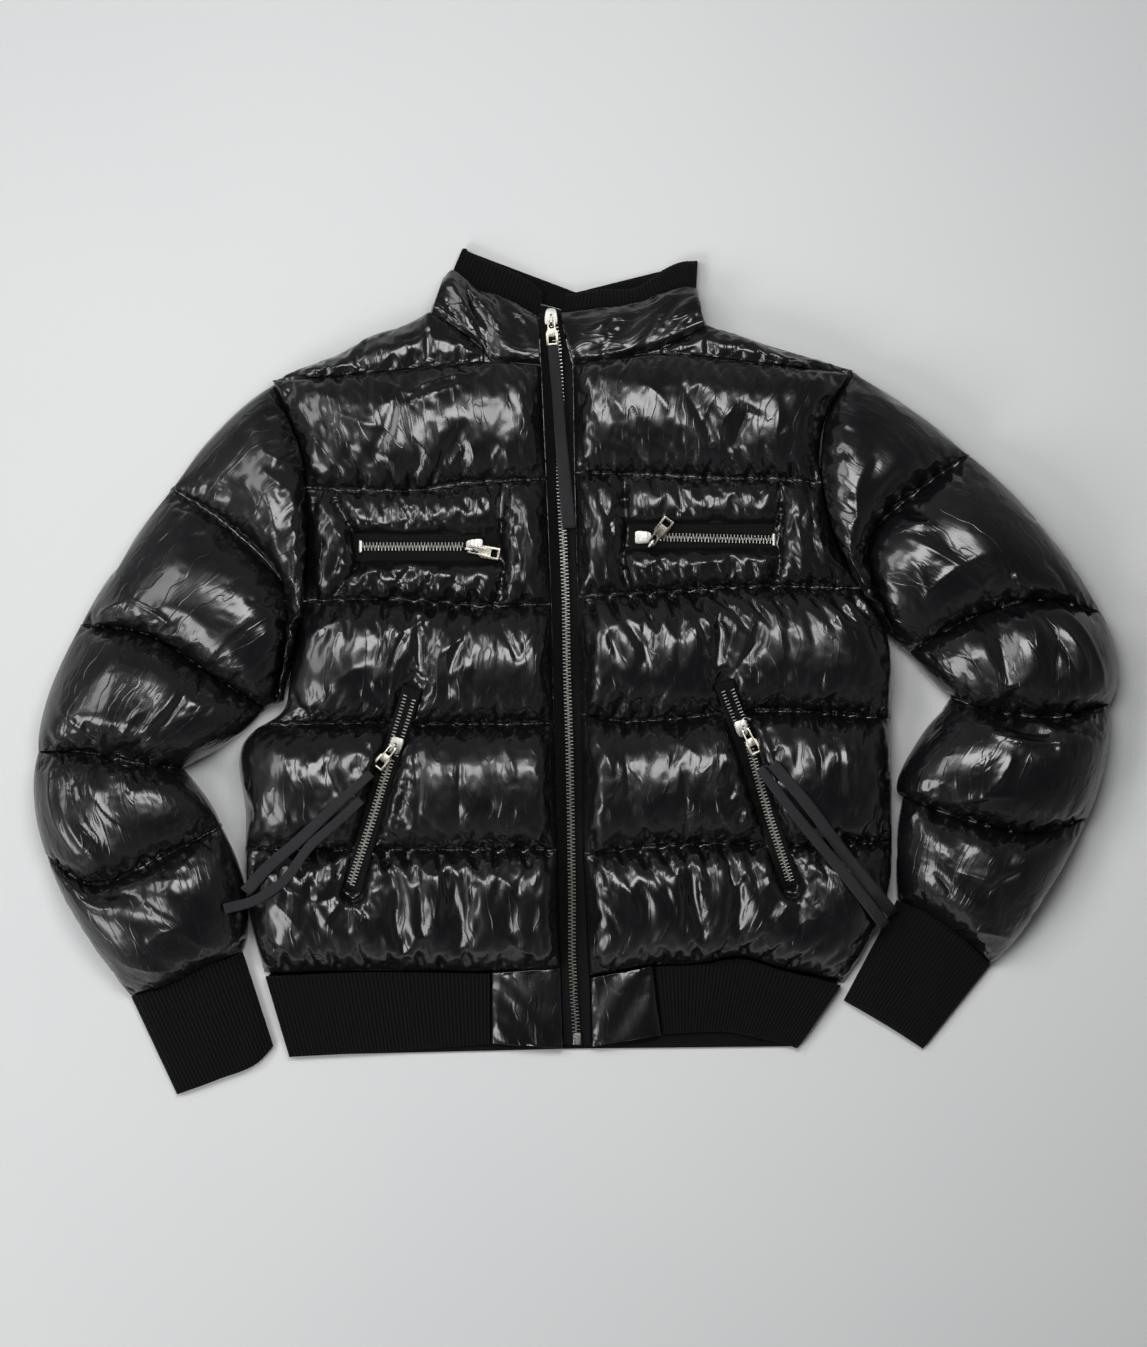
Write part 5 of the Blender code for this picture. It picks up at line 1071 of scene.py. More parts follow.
COLLAR_CREASES = (  # side, share and level at the start, share and level at the end, half width, height
    (0, 0.02, 0.75, 0.62, 0.25, 0.05, 3.4), (0, 0.10, 0.95, 0.80, 0.45, 0.04, 2.8),
    (0, 0.3, 0.2, 0.95, 0.15, 0.05, -3.0), (0, 0.25, 0.9, 0.45, 0.35, 0.04, -3.0),
    (0, 0.45, 0.95, 0.7, 0.6, 0.04, 2.4), (0, 0.7, 0.8, 0.98, 0.5, 0.05, -2.4),
    (0, 0.02, 0.45, 0.35, 0.1, 0.05, -2.6), (1, 0.02, 0.75, 0.45, 0.2, 0.05, 3.2),
    (1, 0.1, 0.95, 0.6, 0.5, 0.04, -2.6), (1, 0.3, 0.9, 0.9, 0.55, 0.05, 3.0),
    (1, 0.45, 0.25, 0.98, 0.2, 0.05, -2.8), (1, 0.5, 0.75, 0.8, 0.35, 0.04, 2.2),
    (1, 0.02, 0.4, 0.3, 0.12, 0.05, -2.4), (1, 0.65, 0.95, 0.98, 0.8, 0.04, -2.0),
)
COLLAR_HIGH, COLLAR_LONG = 45, (165, 125)  # the collar's height and its front parts' lengths: left, right


def collar_wrinkles(side, share, level):
    """The collar's creases, which fan out from the throat to the folds: listed ridges and troughs over
    long soft waves, all dying away at the two seams."""
    wave = 2.6 * np.sin(2 * np.pi * (share * 2.6 + level * 1.3 + side * 0.4)) * np.sin(np.pi * share)
    for on, s0, l0, s1, l1, width, rise in COLLAR_CREASES:
        if on != side:
            continue
        start, end = np.array([s0, l0 * 0.4]), np.array([s1, l1 * 0.4])
        way = end - start
        at = np.stack([share, np.full_like(share, level * 0.4)], 1) - start
        run = np.clip(at @ way / (way @ way), 0, 1)
        away = np.linalg.norm(at - run[:, None] * way, axis=1)
        wave = wave + rise * np.sin(np.pi * run) ** 0.6 * np.exp(-away / (width * 0.4))
    run = share * COLLAR_LONG[side]
    seam = gathers(run, level * COLLAR_HIGH + 0 * run, 500 + side, 9)
    seam = seam + gathers(run, (1 - level) * COLLAR_HIGH + 0 * run, 510 + side, 7)
    return wave * math.sin(math.pi * level) ** 0.6 + 1.5 * seam


def neck_shelf(y):
    """The least level of the collar's front: over the top edge of the back, and free above it."""
    return np.interp(y, (317, 329.5), (LAYER_Z + 0.4, 0))


def throat_shelf(y):
    """The least level of the ribbed band's front, where it dips over the collar's back at the throat."""
    return np.interp(y, (326, 338.5), (10.2, 4.8))


def hem_shelf(y):
    """The least level of what lies on the back's lower edge."""
    return np.where(y > -276, layer_z(y) + 0.4, 0)


def zip_border(side):
    """The edge of the collar, the front and the hem tab beside the zip, as points from the top down."""
    front = [line[side][0] for line in FRONT_LINES.values()]
    return np.array([THROAT[side], *front, TABS[side][0], TABS[side][3]], float)


def at_zip(y, table):
    """A column of places against their y, both read from a table of points from the top down."""
    table = np.array(table, float)
    return np.interp(-np.asarray(y), -table[:, 0], table[:, 1])


def zip_level(y):
    """The level of the underside of the main zip's tape."""
    return at_zip(y, ZIP_LEVEL[::-1])


def zip_middle(y):
    """The x of the middle of the main zip's chain."""
    return at_zip(y, [(b, a) for a, b in ZIP_LINE])


# ---------------------------------------------------------------- what is laid on the cloth
class Ground:
    """The height of all that is laid so far, as the highest point in each cell of a 2 mm raster."""

    cell, low, shape = 2.0, np.array([-500.0, -400.0]), (500, 400)

    def __init__(self, names):
        self.level = np.zeros(self.shape)
        for name in names:
            mesh = bpy.data.objects[name].data
            points = np.empty(len(mesh.vertices) * 3)
            mesh.vertices.foreach_get("co", points)
            points = points.reshape(-1, 3) / MM
            at = ((points[:, :2] - self.low) / self.cell).astype(int)
            np.maximum.at(self.level, (at[:, 0], at[:, 1]), points[:, 2])
        around = [np.roll(self.level, (i, j), (0, 1)) for i in (-1, 0, 1) for j in (-1, 0, 1)]
        self.level = np.where(self.level > 0, self.level, np.max(around, 0))

    def height(self, plan, reach=1):
        """The highest level within some cells of each place in plan."""
        at = ((plan - self.low) / self.cell).astype(int)
        steps = range(-reach, reach + 1)
        return np.max([self.level[at[..., 0] + i, at[..., 1] + j] for i in steps for j in steps], 0)


def strip_grid(path, width, spacing, across_count, ground, lift, taut=0, reach=1, edge=0):
    """A flat strip along a path in plan, lifted off the ground below it less some columns at its edges. taut
    is how often each place is raised to the middle of its neighbours, as if the strip were pulled."""
    count = int(length_of(path) / spacing) + 1
    share = np.linspace(0, 1, count)
    middle = along(path, share)
    way = np.gradient(middle, axis=0)
    way /= np.linalg.norm(way, axis=1)[:, None]
    across = np.stack([-way[:, 1], way[:, 0]], 1)
    widths = np.interp(share, [0, 1], np.broadcast_to(width, 2))
    offsets = np.linspace(-0.5, 0.5, across_count)
    plan = middle[:, None] + across[:, None] * (offsets[None, :, None] * widths[:, None, None])
    below = ground.height(plan[:, edge : across_count - edge], reach).max(1)
    z = np.repeat(below[:, None], across_count, 1)
    for _ in range(taut):
        z[1:-1] = np.maximum(z[1:-1], (z[:-2] + z[2:]) / 2)
    for _ in range(4):
        z[1:-1] = np.maximum(z[1:-1], (z[:-2] + z[1:-1] + z[2:]) / 3)
    return np.dstack([plan, z + lift])


# ---------------------------------------------------------------- repeated small things
def copies(points, faces, places, turns):
    """One mesh of many copies: each turned about +Z, then moved to its place."""
    cos, sin = np.cos(turns)[:, None], np.sin(turns)[:, None]
    x, y, z = points.T
    many = np.stack([x * cos - y * sin, x * sin + y * cos, np.broadcast_to(z, (len(turns), len(z)))], -1)
    many = many + places[:, None, :]
    starts = np.arange(len(turns)) * len(points)
    return many.reshape(-1, 3), [[v + int(s) for v in face] for s in starts for face in faces]


def prism(profile, start, end, end_scale=1.0):
    """A closed prism along +X: a profile in y and z at both ends, the far one scaled."""
    profile = np.array(profile, float)
    count = len(profile)
    middle = np.array([0, profile[:, 1].mean()])
    far = middle + (profile - middle) * end_scale
    points = np.column_stack([np.repeat([start, end], count), np.concatenate([profile, far])])
    faces = [[i, (i + 1) % count, (i + 1) % count + count, i + count] for i in range(count)]
    faces += [list(range(count))[::-1], list(range(count, 2 * count))]
    return points, outward(points, faces)


TOOTH = (  # a tooth's rounded profile: y and z shares
    (-1, 0), (1, 0), (1, 0.62), (0.78, 0.88), (0.4, 1.0), (-0.4, 1.0), (-0.78, 0.88), (-1, 0.62),
)


def teeth_mesh(path, level, pitch, high, half_width, open_by=0.0):
    """Both rows of teeth along a path: each row at the pitch, half a pitch apart, meeting past the middle,
    or with both rows moved apart."""
    length = length_of(path)
    parts = []
    for side in (1, -1):
        count = int(length / pitch)
        at = (np.arange(count) + (0.5 if side > 0 else 0.0) + 0.25) * pitch / length
        at = at[at < 1]
        middle = along(path, at)
        way = along(path, np.clip(at + 0.004, 0, 1)) - along(path, np.clip(at - 0.004, 0, 1))
        turn = np.arctan2(way[:, 1], way[:, 0]) + np.pi / 2
        profile = [(y * pitch * 0.23, z * high) for y, z in TOOTH]
        points, tooth = prism(profile, side * (half_width + open_by), side * (open_by - 0.9), 0.8)
        z = level(middle) if callable(level) else np.full(len(at), level)
        parts.append(copies(points, tooth, np.column_stack([middle, z]), turn))
    return joined(parts)


def stitch_mesh(paths, pitch, length, width):
    """Thread along paths of points: a flat six-sided stitch each pitch, turned along the path."""
    profile = [(width / 2 * math.cos(a), width / 2 * math.sin(a)) for a in np.radians(range(0, 360, 60))]
    points, stitch = prism(profile, -length / 2, length / 2, 0.7)
    places, turns = [], []
    for path in paths:
        step = np.linalg.norm(np.diff(path, axis=0), axis=1)
        at = np.append(0, np.cumsum(step))
        where = np.arange(pitch, at[-1] - pitch, pitch)
        spot = np.stack([np.interp(where, at, path[:, c]) for c in range(3)], 1)
        way = np.gradient(spot, axis=0)
        places.append(spot)
        turns.append(np.arctan2(way[:, 1], way[:, 0]))
    return copies(points, stitch, np.concatenate(places), np.concatenate(turns))


def plate(loops, thickness, bevel, place, turn=0.0, tilt=0.0, stand=False):
    """Points and faces in mm of a bevelled flat plate: closed outlines, the first its edge and the others
    holes, tilted and turned, then moved to its place; one that stands is first turned upright."""
    curve = bpy.data.curves.new("plate", "CURVE")
    curve.dimensions, curve.fill_mode = "2D", "BOTH"
    curve.extrude, curve.bevel_depth, curve.offset = (thickness / 2 - bevel) * MM, bevel * MM, -bevel * MM
    curve.bevel_resolution = 2
    for loop in loops:
        spline = curve.splines.new("POLY")
        spline.points.add(len(loop) - 1)
        for point, (x, y) in zip(spline.points, loop):
            point.co = (x * MM, y * MM, 0, 1)
        spline.use_cyclic_u = True
    made = bpy.data.objects.new("plate", curve)
    bpy.context.scene.collection.objects.link(made)
    bpy.context.view_layer.update()
    mesh = bpy.data.meshes.new_from_object(made.evaluated_get(bpy.context.evaluated_depsgraph_get()))
    bpy.data.objects.remove(made)
    bpy.data.curves.remove(curve)
    shape = bmesh.new()
    shape.from_mesh(mesh)
    bmesh.ops.remove_doubles(shape, verts=shape.verts, dist=1e-6)
    bmesh.ops.recalc_face_normals(shape, faces=shape.faces)
    turned = Euler((math.pi / 2 if stand else 0, -tilt, turn)).to_matrix()
    points = np.array([turned @ v.co for v in shape.verts]) / MM + np.array(place, float)
    faces = [[v.index for v in face.verts] for face in shape.faces]
    shape.free()
    bpy.data.meshes.remove(mesh)
    return points, faces


def rounded(loop, radius, steps=4):
    """A closed outline with each corner rounded by the curve of second order that is drawn to the corner."""
    loop = np.array(loop, float)
    out = []
    for i, corner in enumerate(loop):
        before, after = loop[i - 1] - corner, loop[(i + 1) % len(loop)] - corner
        cut = min(radius, np.linalg.norm(before) * 0.48, np.linalg.norm(after) * 0.48)
        a, b = corner + before / np.linalg.norm(before) * cut, corner + after / np.linalg.norm(after) * cut
        for t in np.linspace(0, 1, steps):
            out.append(a * (1 - t) ** 2 + corner * 2 * t * (1 - t) + b * t**2)
    return out


def joined(parts):
    """Several closed meshes as one list of points and faces."""
    points, faces, start = [], [], 0
    for more, more_faces in parts:
        points.append(more)
        faces += [[v + start for v in face] for face in more_faces]
        start += len(more)
    return np.concatenate(points), faces


# ---------------------------------------------------------------- materials
def node(tree, kind, inputs=None, **settings):
    """Adds a shader node: its own settings by name, its inputs by name or number from values or sockets."""
    made = tree.nodes.new("ShaderNode" + kind)
    for key, value in settings.items():
        setattr(made, key, value)
    for key, value in (inputs or {}).items():
        if isinstance(value, bpy.types.NodeSocket):
            tree.links.new(value, made.inputs[key])
        else:
            made.inputs[key].default_value = value
    return made


def begin(name, values):
    """A new material and its shader with the values that are the same all over."""
    made = bpy.data.materials.new(name)
    made.use_nodes = True
    shader = made.node_tree.nodes["Principled BSDF"]
    for key, value in values.items():
        shader.inputs[key].default_value = value
    return made.node_tree, shader


def setting(name):
    """A colour as the user has set it."""
    scene = bpy.context.scene
    return tuple(getattr(scene.jacket_cloth if name == "shell" else scene.jacket_trim, name))


def tint(tree, shader, factor, low, high):
    """The base colour, between two colours by a factor."""
    mixed = node(tree, "Mix", {"Factor": factor, "A": low, "B": high}, data_type="RGBA")
    tree.links.new(mixed.outputs["Result"], shader.inputs["Base Color"])


def shades(name, *factors):
    """A set colour made darker or lighter by each factor."""
    return (tuple(c * factor for c in setting(name)) for factor in factors)


def scaled(tree, scale, stretch=(1, 1, 1)):
    """Object coordinates in units of scale mm, stretched."""
    place = node(tree, "TexCoord").outputs["Object"]
    per = tuple(s / (scale * MM) for s in stretch)
    return node(tree, "Mapping", {"Vector": place, "Scale": per}).outputs[0]


def noise(tree, place, detail=1.0, output=0):
    """Smooth noise over the given coordinates."""
    return node(tree, "TexNoise", {"Vector": place, "Scale": 1.0, "Detail": detail}).outputs[output]


def spread(tree, value, low, high, out_low, out_high):
    """A value carried from one range to another, and held at its ends."""
    made = node(tree, "MapRange", {"Value": value, "From Min": low, "From Max": high})
    made.inputs["To Min"].default_value, made.inputs["To Max"].default_value = out_low, out_high
    return made.outputs[0]


def bump(tree, height, depth, below=None):
    """A bump whose full height is depth mm, over another one if given."""
    made = node(tree, "Bump", {"Height": height, "Distance": depth * MM, "Strength": 1.0})
    if below:
        tree.links.new(below, made.inputs["Normal"])
    return made.outputs[0]


STREAKS = (  # the film's folds, which run out from the seams: spacing, length and depth in mm, and the share
    (7.0, 110.0, 0.36, 0.1),  # of that depth far from any seam
    (3.4, 50.0, 0.22, 0.55),
    (1.8, 30.0, 0.09, 0.6),
)
CREASES = (14.0, 160.0, 0.13, 0.03)  # sharp lines: spacing, length and depth in mm, share of the spacing
STREAK_BEND, CREASE_BEND = 13, 18  # how far, in mm, both wander from the straight


def coated_nylon(name):
    """Polyurethane-coated nylon taffeta: a smooth wet-looking film on a fine cloth. Fine folds run out from
    its seams and break up every reflection, and the film is a little duller where it has been rubbed."""
    tree, shader = begin(name, {
        "IOR": 1.5, "Specular IOR Level": 0.5, "Coat Weight": 0.35, "Coat Roughness": 0.11, "Coat IOR": 1.5,
    })
    place = node(tree, "TexCoord").outputs["UV"]
    drift = noise(tree, scaled(tree, 34), output="Color")
    near_seam = node(tree, "Attribute", attribute_name="gathered").outputs["Fac"]

    def lines(spacing, length, bend):
        """Noise drawn out down the cloth and swayed across it."""
        scale = (1 / (spacing * MM), 1 / (length * MM), 1)
        run = node(tree, "Mapping", {"Vector": place, "Scale": scale}).outputs[0]
        sway = node(tree, "VectorMath", {0: drift, "Scale": bend / spacing}, operation="SCALE").outputs[0]
        return noise(tree, node(tree, "VectorMath", {0: run, 1: sway}, operation="ADD").outputs[0])

    folds = None
    for spacing, length, depth, least in STREAKS:
        share = spread(tree, near_seam, 0, 1, least, 1)
        fold = lines(spacing, length, STREAK_BEND)
        rise = node(tree, "Math", {0: fold, 1: share}, operation="MULTIPLY").outputs[0]
        folds = bump(tree, rise, depth, folds)
    spacing, length, depth, width = CREASES
    line = lines(spacing, length, CREASE_BEND)
    off = node(tree, "Math", {0: line, 1: 0.5}, operation="SUBTRACT").outputs[0]
    off = node(tree, "Math", {0: off}, operation="ABSOLUTE").outputs[0]
    folds = bump(tree, spread(tree, off, 0.0, width, 1.0, 0.0), depth, folds)
    folds = bump(tree, noise(tree, scaled(tree, 12)), 0.05, folds)
    tree.links.new(folds, shader.inputs["Normal"])
    tree.links.new(folds, shader.inputs["Coat Normal"])
    rub = noise(tree, scaled(tree, 42), 4.0)
    tree.links.new(spread(tree, rub, 0.35, 0.65, 0.22, 0.34), shader.inputs["Roughness"])
    tint(tree, shader, rub, *shades("shell", 1.0, 1.4))


def rib_knit(name):
    """Acrylic 1 by 1 rib knit: matte and fuzzy, each rib a column of small V stitches about 1.3 mm tall."""
    tree, shader = begin(name, {
        "Roughness": 0.95, "Sheen Weight": 0.03, "Sheen Roughness": 0.6, "Specular IOR Level": 0.06,
    })
    wave = node(tree, "TexWave", {
        "Vector": scaled(tree, 1.3, (0.4, 1, 0.4)), "Scale": 0.32, "Distortion": 1.5, "Detail": 2.0,
    }, bands_direction="Y").outputs["Fac"]
    fuzz = noise(tree, scaled(tree, 1.1), 4.0)
    tree.links.new(bump(tree, fuzz, 0.25, bump(tree, wave, 0.2)), shader.inputs["Normal"])
    tint(tree, shader, fuzz, *shades("knit", 0.6, 1.5))


def zip_tape(name):
    """Woven polyester zip tape: matte, with a close twill whose threads stand about 0.7 mm apart."""
    tree, shader = begin(name, {"Roughness": 0.8, "Specular IOR Level": 0.12, "Sheen Weight": 0.03})
    twill = {"Vector": scaled(tree, 0.7), "Scale": 0.32, "Distortion": 0.5}
    weave = node(tree, "TexWave", twill, bands_direction="DIAGONAL").outputs["Fac"]
    tree.links.new(bump(tree, weave, 0.15), shader.inputs["Normal"])
    tint(tree, shader, weave, *shades("tape", 0.7, 1.6))


def metal(name, base, rough, grain, depth):
    """A metal with a fine grain: the roughness and a shallow bump both follow noise drawn out one way."""
    tree, shader = begin(name, {"Base Color": setting(base), "Metallic": 1.0})
    lines = noise(tree, scaled(tree, grain, (1, 0.12, 1)), 3.0)
    tree.links.new(spread(tree, lines, 0.3, 0.7, rough * 0.75, rough * 1.35), shader.inputs["Roughness"])
    tree.links.new(bump(tree, lines, depth), shader.inputs["Normal"])


def zip_metal(name):
    """Nickel-plated brass teeth and sliders, barrel polished: bright, with soft edges and faint grain."""
    metal(name, "nickel", 0.4, 1.5, 0.02)


def pull_metal(name):
    """Brushed champagne-nickel pulls: warmer and duller than the teeth, with fine brush lines."""
    metal(name, "pull", 0.3, 0.6, 0.04)


def grosgrain(name):
    """Grosgrain ribbon: dark grey polyester, with a fine rib across it every 1.1 mm and no gloss."""
    tree, shader = begin(name, {
        "Roughness": 0.85, "Specular IOR Level": 0.15, "Sheen Weight": 0.05,
    })
    fuzz = noise(tree, scaled(tree, 0.8), 3.0)
    place = node(tree, "TexCoord").outputs["UV"]
    ribbed = {"Vector": place, "Scale": 0.45, "Distortion": 0.4}
    rib = node(tree, "TexWave", ribbed, bands_direction="X").outputs["Fac"]
    tree.links.new(bump(tree, fuzz, 0.08, bump(tree, rib, 0.3)), shader.inputs["Normal"])
    tint(tree, shader, rib, *shades("ribbon", 0.75, 1.25))


FINISHES = {  # the material of each slot, and what makes it; the solids' own materials bear the slots' names
    "coated_nylon": ("Coated nylon taffeta", coated_nylon),
    "rib_knit": ("Acrylic rib knit", rib_knit),
    "zip_tape": ("Woven zip tape", zip_tape),
    "zip_metal": ("Nickel-plated brass", zip_metal),
    "pull_metal": ("Brushed champagne nickel", pull_metal),
    "grosgrain": ("Polyester grosgrain", grosgrain),
}


def dress(made, finish, *nodes, body="jacket"):
    """Gives a piece its finish and its body, and hides the imported solids that it stands for."""
    name, make = FINISHES[finish]
    if name not in bpy.data.materials:
        make(name)
    made.data.materials.clear()
    made.data.materials.append(bpy.data.materials[name])
    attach(made, body)
    if nodes:
        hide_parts(*nodes)
    return made


# ---------------------------------------------------------------- the back
def make_back(cloth):
    """The back: its underside lies on the floor, with a groove and gathers at each quilt line, and comes up
    in a quarter round at its sides."""
    share = np.linspace(0.01, 1, 90)
    left, right = (
        np.concatenate([SHOULDERS[side][::-1], along(ARMHOLES[side], share), along(SIDES[side], share)])
        for side in (0, 1)
    )
    y = np.arange(299, HEM_Y + 3, -5.0)
    start = np.interp(-y, -left[:, 1], left[:, 0]) + SEAM_GAP
    end = np.interp(-y, -right[:, 1], right[:, 0]) - SEAM_GAP
    s = eased(112, 0.6)
    x = start[:, None] * (1 - s) + end[:, None] * s
    y = y[:, None] + 0 * x
    level = layer_z(y)
    side_low = np.minimum(9.0, level * 0.5)
    to_side = np.minimum(x - start[:, None], end[:, None] - x)
    low = side_low * (1 - roll(to_side, 16))
    lines = [np.mean(FRONT_LINES[name][0], axis=0)[1] for name in ("chest line", "pocket line", "waist line")]
    for number, line in enumerate((*lines, TAPER_Y)):
        away = np.abs(y - line)
        low = np.maximum(low, 5.0 * np.exp(-((away / 6) ** 2)))
        low += np.clip(gathers(x, away, 700 + number, 16) * cloth.pucker / MM * 1.2, 0, None)
    low += np.clip(crumple(np.dstack([x, y]), 71, 160, 1.5, ((-290, -266), (279, 299))), 0, None)
    low = np.clip(low, 0, level - 2)
    top = np.dstack([x, y, level - 0.1])
    made = chart(wall_solid("back_shell", top, np.dstack([x, y, low])), top)
    dress(made, "coated_nylon", "back")


# ---------------------------------------------------------------- the collar
def make_collar(trim):
    """The collar's shell and its ribbed band, both folded flat with their backs on the floor."""
    rows = 15
    shares = eased(rows, 0.3)
    fronts = []
    for side in (0, 1):
        at = np.linspace(0, 1, 60)
        base = along(COLLAR_BASES[side], at) + np.array([0, 0.6])
        top = along(COLLAR_TOPS[side], at)
        base[:, 0] += (1 if side else -1) * 0.5
        fronts.append([base * (1 - s) + top * s for s in shares])
    table = np.array(COLLAR_LEVELS, float)
    levels = np.stack([np.interp(shares, table[:, 0], table[:, c]) for c in (1, 2, 3)], 1)
    outer, inner = folded_band(
        "collar_shell", fronts, levels, 9.0, bumps=collar_wrinkles, shelf=neck_shelf, spacing=2.6
    )
    PATHS["collar_shell"] = outer
    outer, inner = refine(outer), refine(inner)
    made = chart(wall_solid("collar_shell_cloth", outer, inner), outer, along_band=True)
    dress(made, "coated_nylon", "collar_shell")
    rim = PATHS["collar_shell"][-1]
    fronts = []
    for side in (0, 1):
        edge = rim[(rim[:, 0] > (THROAT[0][0] + THROAT[1][0]) / 2) == bool(side)]
        edge = edge[edge[:, 2] > 10]
        edge = edge[np.argsort(edge[:, 0])]
        x = np.linspace(COLLAR_TOPS[side][1][0], COLLAR_TOPS[side][-1][0], 60)
        base = np.column_stack([x, np.interp(x, edge[:, 0], edge[:, 1]) + SEAM_GAP])
        free = along(RIB_TOPS[side], np.linspace(0, 1, 60))
        fronts.append([base * (1 - s) + free * s for s in np.linspace(0, 1, 6)])
    levels = between(RIB_LEVELS, 6)
    outer, inner = folded_band("collar_rib", fronts, levels, 4.0, trim, shelf=throat_shelf, back_share=200)
    made = dress(wall_solid("collar_rib_knit", outer, inner), "rib_knit", "collar_rib")


# ---------------------------------------------------------------- cuffs, hem band and tabs
def make_cuff(side, trim):
    """A cuff: a flattened ribbed tube from the sleeve's end to its free edge, a little fuller at the seam."""
    seam, free = np.array(SLEEVES[side][-1][1:5], float), np.array(CUFF_ENDS[side], float)
    share, rise = ribs(np.linalg.norm(seam[0] - seam[-1]) * 0.96, trim)
    upper = np.concatenate([[0, 0.008], 0.02 + 0.96 * share, [0.992, 1]])
    rise = np.concatenate([[0, 0], rise, [0, 0]])
    lower = np.linspace(0.985, 0.015, 60)
    both = np.concatenate([upper, lower])
    down = (free - seam) / np.linalg.norm(free - seam, axis=1)[:, None]
    outer, inner = [], []
    for s in eased(12, 0.5):
        line = (seam + down * 2 * SEAM_GAP) * (1 - s) + free * s
        height = CUFF_TOP_Z + (CUFF_END_Z - CUFF_TOP_Z) * s + 1.5 * math.sin(math.pi * s)
        height -= 1.2 * smooth(s, 0.93, 1)
        slit = CUFF_LAYER_Z + (CUFF_END_LAYER_Z - CUFF_LAYER_Z) * s
        ring = np.zeros((len(both), 3))
        ring[:, :2] = along(line, both)
        full = np.clip(crown(upper, 4), 0, 1)
        wave = 0.8 * np.sin(2 * np.pi * (upper * 1.7 + s * 0.8 + side * 0.3)) * math.sin(math.pi * s)
        ring[: len(upper), 2] = slit + (height + wave - slit) * full + rise * np.clip(full * 1.5, 0, 1)
        ring[len(upper) :, 2] = 0.35 * (np.arange(len(lower)) % 2)
        ring[[len(upper), -1], 2] = slit * 0.35
        inside = np.zeros_like(ring)
        inside[:, :2] = along(line, 0.5 + (both - 0.5) * 0.93)
        inside[:, 2] = slit - 0.6
        inside[2 : len(upper) - 2, 2] = slit + 0.6
        inside[[0, 1, len(upper) - 2, len(upper) - 1], 2] = slit
        outer.append(ring)
        inner.append(inside)
    name = f"cuff_{WORDS[side]}"
    made = dress(wall_solid(f"{name}_knit", np.array(outer), np.array(inner), wrap=True), "rib_knit", name)


def make_hem(trim):
    """The hem's ribbed band, folded round both sides and along the back."""
    fronts = []
    for seam, free in HEM_FRONTS:
        lines = [along(line[::-1], np.linspace(0, 1, 60)) for line in (seam, free)]
        fronts.append([lines[0] * (1 - s) + lines[1] * s for s in eased(10, 0.4)])
    levels = between(HEM_LEVELS, 10)
    outer, inner = folded_band("hem_rib", fronts, levels, 3.5, trim, shelf=hem_shelf, back_share=260)
    made = dress(wall_solid("hem_rib_knit", outer, inner), "rib_knit", "hem_rib")


def make_tab(side):
    """The hem's nylon tab beside the zip: ruled between its corners and lightly padded, with soft waves and
    gathers along its seams."""
    c = np.array(TABS[side], float)
    u, v = eased(30, 0.4)[None, :, None], eased(30, 0.4)[:, None, None]
    plan = (c[0] * (1 - u) + c[1] * u) * (1 - v) + (c[3] * (1 - u) + c[2] * u) * v
    u, v = u[..., 0], v[..., 0]
    z = TAB_Z + TAB_RISE * crown(u, 3) * crown(0.12 + 0.76 * v, 3)
    z = z + 1.2 * np.sin(2 * np.pi * (1.5 * u + 1.1 * v + 0.3 * side)) * crown(u) * crown(v)
    for end, seed in ((v, 1), (1 - v, 2)):
        z = z + 0.8 * gathers(u * TAB_WIDE, end * TAB_TALL, 800 + 10 * side + seed, 8)
    for end, seed in ((u, 3), (1 - u, 4)):
        z = z + 0.6 * gathers(v * TAB_TALL, end * TAB_WIDE, 800 + 10 * side + seed, 8)
    grid = refine(np.dstack([plan, z]))
    plan = grid[..., :2]
    grid = push(grid, 0.6 * crumple(plan, 81 + side, 12, 0.6))
    name = f"hem_tab_{WORDS[side]}"
    PATHS[name] = grid
    under = np.maximum(TAB_UNDER_Z, hem_shelf(plan[..., 1]))
    inner = np.dstack([plan, np.minimum(under, grid[..., 2] - 0.5)])
    made = dress(chart(wall_solid(f"{name}_shell", grid, inner), grid), "coated_nylon", name)


# ---------------------------------------------------------------- zips
def tape(name, low, thickness, cord, flat):
    """A zip tape over the grid of its underside, thicker by each column's cord. Gives its upper grid."""
    over = low + np.array([0, 0, thickness])
    over[..., 2] += cord
    made = dress(wall_solid(f"{name}_weave", over, low), "zip_tape", name)
    return over


def pocket_cord(count):
    """The cords of a pocket's tape, one beside each edge."""
    return np.where(np.isin(np.arange(count), (1, count - 2)), CORD, 0.0)


def stop(half_long, half_wide, corner, thickness, place):
    """A zip's stop: a small plate with rounded corners."""
    outline = [(x * half_long, y * half_wide) for x, y in SQUARE]
    return plate([rounded(outline, corner)], thickness, 0.5, place)


def chain(name, parts, node_name):
    """A zip's teeth and stops, cast on its tapes."""
    dress(mesh_object(name, *joined(parts), TOOTH_ANGLE), "zip_metal", node_name)


